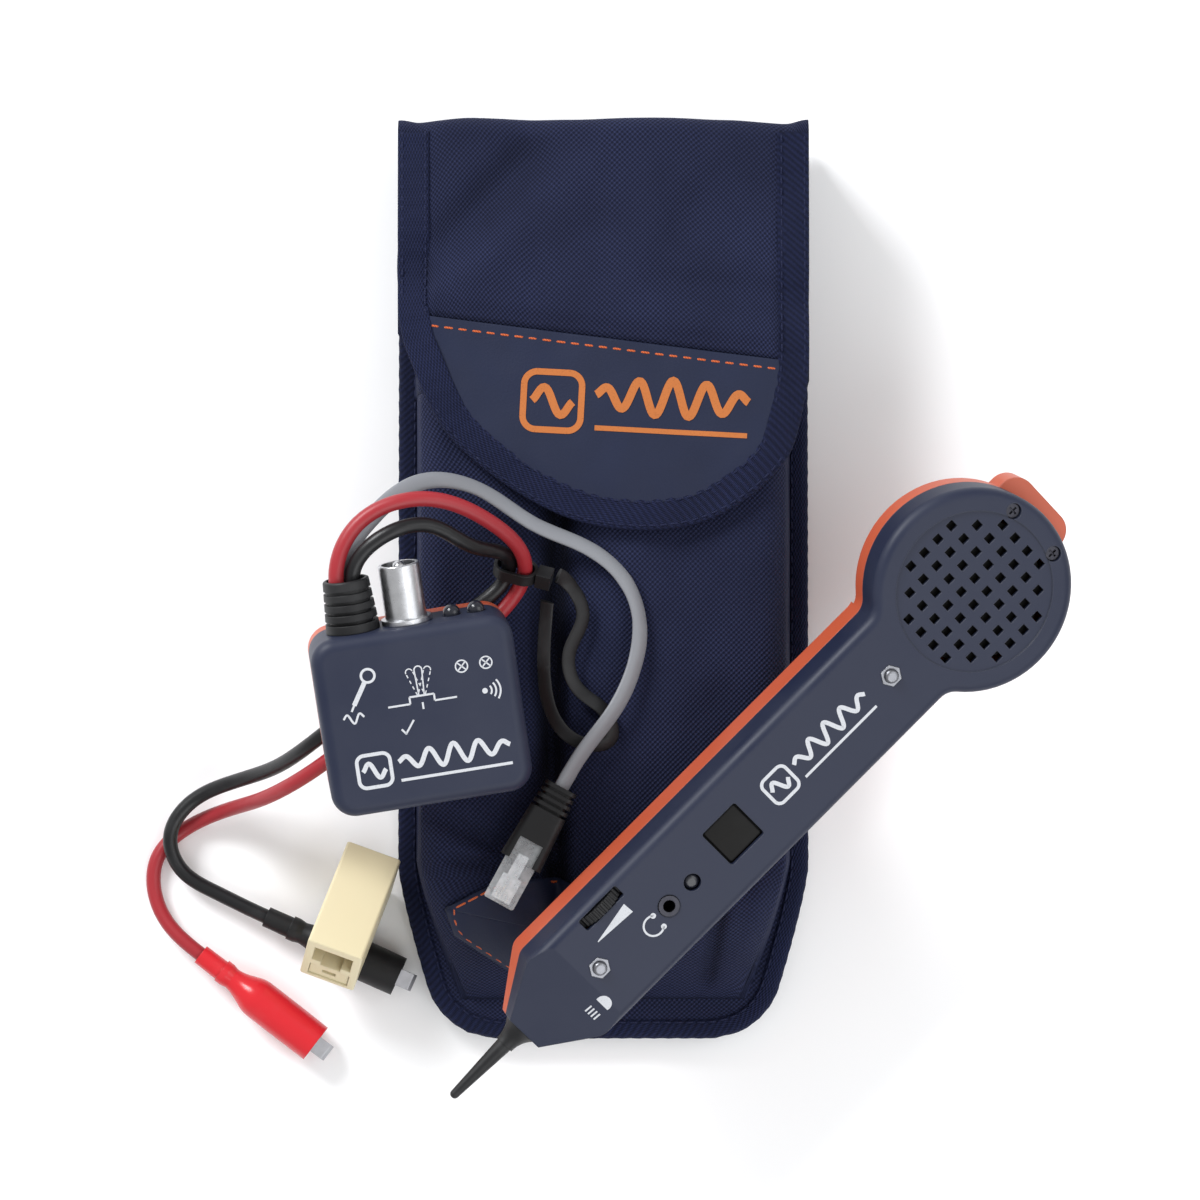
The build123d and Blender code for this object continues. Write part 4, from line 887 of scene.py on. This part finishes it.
def make_corner_patch():
    """Smooth patch over the lower left corner of the pockets, edged with bright stitching."""
    corners = [(-46.5, -97), (-44, -105), (-22, -121), (6, -122), (11, -99), (-13, -88.5), (-30, -88.5)]
    middle = Vector((sum(x for x, _ in corners), sum(y for _, y in corners))) / len(corners)
    rim = resample([(x, y, 0) for x, y in corners + corners[:1]], 1.2)

    def point(u, v):
        spot = rim[int(round(u * (len(rim) - 1)))].to_2d().lerp(middle, 1 - v * 0.999)
        return (spot.x, spot.y, pocket_surface(spot.x, spot.y) + 1.0 + 0.7 * smooth(1.0, 0.93, v))

    patch = sheet("pocket_vinyl", point, len(rim) - 1, 36, 0.7, "smooth_vinyl", offset=0.0)
    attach(patch, "pouch")
    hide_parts("pocket_corner_patch")
    inner = [Vector(corner).lerp(middle, 0.07) for corner in corners]
    for name, start, stop in (("corner_stitches_upper", 5, 7), ("corner_stitches_left", 0, 2)):
        ring = inner + inner[:1]
        row = [(p.x, p.y, 0) for p in ring[start:stop + 1]]
        if name == "corner_stitches_left":
            row = [(inner[6].x, inner[6].y, 0)] + row + [(inner[3].x, inner[3].y, 0)]
        spaced = resample(row, 1.0)
        stitches(name, on_surface(spaced, pocket_surface, 2.05), *BRIGHT_STITCH, orange_thread, "pouch")


def make_pads():
    """Hook and loop pads with a fuzzy face and a sewn border."""
    for node, name, body, face in (("closure_loop_pad", "loop_pad", "pouch", 1),
                                   ("closure_hook_pad", "hook_pad", "flap", -1)):
        low, high = box_mm(node)

        def point(u, v):
            x = low.x + (high.x - low.x) * u
            y = low.y + (high.y - low.y) * v
            inside = smooth(0, 0.04, u) * smooth(1, 0.96, u) * smooth(0, 0.1, v) * smooth(1, 0.9, v)
            pile = 0.18 * noise.noise(Vector((x * 1.9, y * 1.9, face)))
            middle = (low.z + high.z) / 2
            return (x, y, middle + face * (0.15 + pile) * inside)

        pad = sheet(name, point, 120, 44, 0.5, "hook_loop", offset=0.0)
        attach(pad, body)
        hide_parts(node)
        corners = [(low.x + 1.5, low.y + 1.5), (high.x - 1.5, low.y + 1.5),
                   (high.x - 1.5, high.y - 1.5), (low.x + 1.5, high.y - 1.5)]
        z = (low.z + high.z) / 2 + face * 0.35
        loop = [Vector((x, y, z)) for x, y in corners + corners[:1]]
        stitches(name + "_stitches", loop, *PAD_STITCH, navy_thread, body, Vector((0, 0, face)))


make_flap()
make_flap_binding()
make_flap_patch()
make_corner_patch()
make_pads()


# ============================================================ printed markings ====
def item_frame(x_axis, y_axis, z_axis, point, local):
    """Placement of an item from its axes and one point whose place in the item is known."""
    turn = Matrix((x_axis, y_axis, z_axis)).transposed()
    return Matrix.Translation(Vector(point) - turn @ (Vector(local) * MM)) @ turn.to_4x4()


def probe_placement():
    """Probe frame: x from tip to head, z out of the front face."""
    z_axis = -Vector(joint("button_press")["axis"])
    y_axis = Vector(joint("volume_turn")["axis"])
    wheel_at = (69.5, 12.4, 4.2)
    return item_frame(y_axis.cross(z_axis), y_axis, z_axis, joint("volume_turn")["pos_m"], wheel_at)


def generator_placement():
    """Generator frame: y to the cable end, z out of the front face."""
    z_axis = Vector(joint("toggle_throw")["axis"])
    turned = radians(8)
    x_axis = Vector((cos(turned), sin(turned), 0))
    x_axis = (x_axis - z_axis * x_axis.dot(z_axis)).normalized()
    lever_at = (0, 32, 3)
    return item_frame(x_axis, z_axis.cross(x_axis), z_axis, joint("toggle_throw")["pos_m"], lever_at)


def line(start, end, width, end_width=None):
    """A straight stroke as (points, widths)."""
    count = max(2, int(hypot(end[0] - start[0], end[1] - start[1]) / 0.8) + 1)
    shares = np.linspace(0, 1, count)
    points = [(start[0] + (end[0] - start[0]) * s, start[1] + (end[1] - start[1]) * s) for s in shares]
    last = width if end_width is None else end_width
    return points, [width + (last - width) * s for s in shares]


def arc(centre, radius, start, stop, width):
    """A round stroke from start to stop degrees."""
    angles = np.radians(np.linspace(start, stop, max(8, int(abs(stop - start) / 8))))
    points = [(centre[0] + radius * cos(a), centre[1] + radius * sin(a)) for a in angles]
    return points, [width] * len(points)


def wave(start, length, height, turns, width):
    """A sine wave along x, swelling in the middle."""
    shares = np.linspace(0, 1, int(turns * 22))
    points = [(start[0] + length * s, start[1] + height * sin(2 * pi * turns * s) * sin(pi * s) ** 0.5)
              for s in shares]
    return points, [width] * len(points)


def disc(centre, radius, share=1.0):
    """A filled round shape as one stroke of changing width; share < 1 cuts it off."""
    steps = np.linspace(-1, -1 + 2 * share, 14)
    points = [(centre[0] + radius * s, centre[1]) for s in steps]
    return points, [max(0.02, 2 * radius * sqrt(max(0.0, 1 - s * s))) for s in steps]


def turned(strokes, centre, degrees, scale=1.0):
    """Strokes drawn round (0, 0), turned, scaled and moved to centre."""
    c, s = cos(radians(degrees)) * scale, sin(radians(degrees)) * scale
    moved = []
    for points, widths in strokes:
        moved.append(([(centre[0] + x * c - y * s, centre[1] + x * s + y * c) for x, y in points],
                      [w * scale for w in widths]))
    return moved


def stamp(name, strokes, place, node, material, body, lift=0.07):
    """Prints strokes on a surface: each point drops along -z of place onto the node's mesh."""
    surface = node if not isinstance(node, str) else frame["nodes"][node]
    down = place.to_3x3() @ Vector((0, 0, -1))
    vertices, faces, uv = [], [], []
    for points, widths in strokes:
        first = len(vertices)
        for k, (x, y) in enumerate(points):
            before = points[max(k - 1, 0)]
            after = points[min(k + 1, len(points) - 1)]
            run = Vector((after[0] - before[0], after[1] - before[1])).normalized()
            for edge in (-1, 1):
                flat = (x - run.y * edge * widths[k] / 2, y + run.x * edge * widths[k] / 2)
                above = place @ Vector((flat[0] * MM, flat[1] * MM, 0.06))
                hit, spot, _, _ = surface.ray_cast(above, down)
                if not hit:
                    raise ValueError(f"{name}: a stroke runs off the surface at {flat}")
                vertices.append(spot - down * lift * MM)
                uv.append((flat[0] * MM, flat[1] * MM))
        faces += [tuple(first + i for i in face) for face in grid_faces(2, len(points))]
    made = add_object(name, vertices, faces, material, uv)
    solid = made.modifiers.new("ink", "SOLIDIFY")
    solid.thickness = (lift + 0.02) * MM
    faces_out = down.dot(made.data.polygons[0].normal) < 0
    solid.offset = -1.0 if faces_out else 1.0
    settle(made)
    made.data.shade_flat()
    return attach(made, body)


def tone_emblem(length, height):
    """A made-up mark: a tone wave in a rounded frame, then a long dying tone over a rule."""
    half = height / 2
    corner = half * 0.45
    left = -length / 2 + half
    stroke = height * 0.11
    strokes = []
    for sx, sy, start in ((1, 1, 0), (-1, 1, 90), (-1, -1, 180), (1, -1, 270)):
        centre = (left + sx * (half - corner), sy * (half - corner))
        strokes.append(arc(centre, corner, start, start + 90, stroke))
    for s in (-1, 1):
        strokes.append(line((left - half + corner, s * half), (left + half - corner, s * half), stroke))
        strokes.append(line((left + s * half, -half + corner), (left + s * half, half - corner), stroke))
    strokes.append(wave((left - half * 0.7, 0), half * 1.4, half * 0.55, 1.0, stroke * 1.25))
    tail = left + half * 1.5
    reach = length / 2 - tail
    strokes.append(wave((tail, half * 0.3), reach, half * 0.62, 4.5, stroke * 1.3))
    strokes.append(line((tail, -half * 0.85), (tail + reach, -half * 0.85), stroke * 0.8))
    return strokes


def headphones():
    return [arc((0, 0), 3.0, 48, 312, 0.6), disc((1.9, 2.3), 0.85), disc((1.9, -2.3), 0.85)]


def lamp_beam():
    rays = [line((-1.0, y), (-3.4, y), 0.5) for y in (-1.8, -0.6, 0.6, 1.8)]
    return rays + turned([disc((0, 0), 2.4, 0.62)], (1.9, 0), 180)


def mark_probe():
    place = probe_placement()
    strokes = [line((62.0, 6.0), (75.0, 6.8), 0.25, 3.6)]
    strokes += turned(headphones(), (76.4, -2.6), 0)
    strokes += turned(lamp_beam(), (48.5, -8.6), 0)
    stamp("probe_pictograms", strokes, place, "probe_front_shell", white_print, "probe")
    stamp("probe_emblem", turned(tone_emblem(40, 9), (146, 0.5), 0), place,
          "probe_front_shell", white_print, "probe")


def toggle_positions():
    """Lever of a three-way switch: the middle place solid, the thrown places dashed."""
    strokes = [line((-9, -4.4), (-3.2, -4.4), 0.5), line((3.2, -4.4), (9, -4.4), 0.5),
               line((-3.2, -4.4), (-3.2, -2.6), 0.5), line((3.2, -4.4), (3.2, -2.6), 0.5),
               line((-3.2, -2.6), (3.2, -2.6), 0.5), line((0, -4.4), (0, -6.2), 0.5)]
    strokes += [line((-0.7, -2.4), (-1.0, 4.2), 0.35), line((0.7, -2.4), (1.0, 4.2), 0.35),
                arc((0, 4.2), 1.0, 0, 180, 0.35)]
    for lean in (-20, 20):
        for edge in (-0.9, 0.9):
            for low in (0.6, 2.3, 4.0, 5.7):
                dash = turned([line((edge, low), (edge, low + 0.9), 0.3)], (0, -2.6), lean)
                strokes += dash
        strokes += turned([arc((0, 6.9), 0.9, 0, 180, 0.3)], (0, -2.6), lean)
    return strokes


def probe_symbol():
    return [arc((2.6, 5.4), 1.6, 0, 360, 0.6), line((1.6, 3.9), (-1.6, -1.2), 1.1),
            line((-1.6, -1.2), (-2.4, -2.6), 0.5), wave((-4.6, -4.2), 5.0, 1.3, 1.5, 0.5)]


def sound_symbol():
    return [disc((0, 0), 0.7)] + [arc((0, 0), r, -38, 38, 0.45) for r in (1.7, 2.8, 3.9)]


def lamp_symbol():
    half = 1.5 * sin(pi / 4)
    return [arc((0, 0), 1.5, 0, 360, 0.35), line((-half, -half), (half, half), 0.35),
            line((-half, half), (half, -half), 0.35)]


def mark_generator():
    place = generator_placement()
    strokes = turned(toggle_positions(), (0.6, 9.3), 0, 1.1)
    strokes += turned(probe_symbol(), (-16.8, 8.0), 0, 1.2)
    strokes += turned(sound_symbol(), (18.6, 4.9), 0, 1.15)
    strokes += turned(lamp_symbol(), (13.0, 13.0), 0, 1.15)
    strokes += turned(lamp_symbol(), (20.0, 13.0), 0, 1.15)
    strokes += [line((-6.4, -2.4), (-5.2, -4.0), 0.55), line((-5.4, -4.0), (-2.6, -0.2), 0.55)]
    stamp("generator_pictograms", strokes, place, "generator_front_shell", white_print, "generator")
    stamp("generator_emblem", turned(tone_emblem(44, 9.5), (1.5, -13), 0), place,
          "generator_front_shell", white_print, "generator")


def mark_flap():
    patch = bpy.data.objects["flap_vinyl"]
    stamp("flap_emblem", turned(tone_emblem(66, 17), (9.5, 50.5), -3), Matrix.Identity(4), patch,
          orange_print, "flap", lift=0.18)


mark_probe()
mark_generator()
mark_flap()


# ============================================================= stage and camera ====
def area_light(name, place, target, size, power, tint=WHITE):
    data = bpy.data.lights.new(name, "AREA")
    data.size = size
    data.energy = power
    data.color = rgb(tint)[:3]
    light = bpy.data.objects.new(name, data)
    light.location = place
    light.rotation_mode = "QUATERNION"
    light.rotation_quaternion = (Vector(target) - Vector(place)).to_track_quat("-Z", "Y")
    bpy.context.scene.collection.objects.link(light)


def table_look():
    look = Look("table", roughness=0.75)
    cloud = look.noise(look.where("Object"), 3.0, 3.0)
    look.set("Base Color", look.mix(cloud, rgb("#f4f4f5"), rgb("#ffffff")))
    look.bump(look.noise(look.where("Object"), 400.0), 0.02 * MM)
    return look.material


bpy.ops.mesh.primitive_plane_add(size=8.0, location=(0, 0, 0))
table = bpy.context.object
table.name = "table"
table.data.materials.append(table_look())

world = bpy.data.worlds.new("soft room")
world.use_nodes = True
world.node_tree.nodes["Background"].inputs[0].default_value = rgb("#ffffff")
world.node_tree.nodes["Background"].inputs[1].default_value = 0.6
bpy.context.scene.world = world
bpy.context.scene.view_settings.view_transform = "Standard"

LIGHTS = {
    "key": ((-0.75, 0.85, 0.8), 0.5, 21.0),
    "fill": ((0.9, 0.1, 1.0), 0.9, 5.0),
    "front": ((0.5, -0.9, 1.0), 1.0, 9.0),
}
for light_name, (light_place, light_size, light_power) in LIGHTS.items():
    area_light(light_name, light_place, (0, 0, 0), light_size, light_power)

# the camera looks down almost squarely, from far enough that upright sides stay hidden
CAMERA_HEIGHT = 1.1
CAMERA_ELEVATION = 88.5
VIEW_WIDTH = 358 * MM
AIM = Vector((-1 * MM, -6 * MM, 25 * MM))

camera_data = bpy.data.cameras.new("camera")
camera_data.lens = camera_data.sensor_width * CAMERA_HEIGHT / VIEW_WIDTH
camera = bpy.data.objects.new("camera", camera_data)
tilt = radians(CAMERA_ELEVATION)
camera.location = AIM + CAMERA_HEIGHT * Vector((0, -cos(tilt), sin(tilt)))
camera.rotation_euler = Euler((radians(90) - tilt, 0, 0))
bpy.context.scene.collection.objects.link(camera)
bpy.context.scene.camera = camera
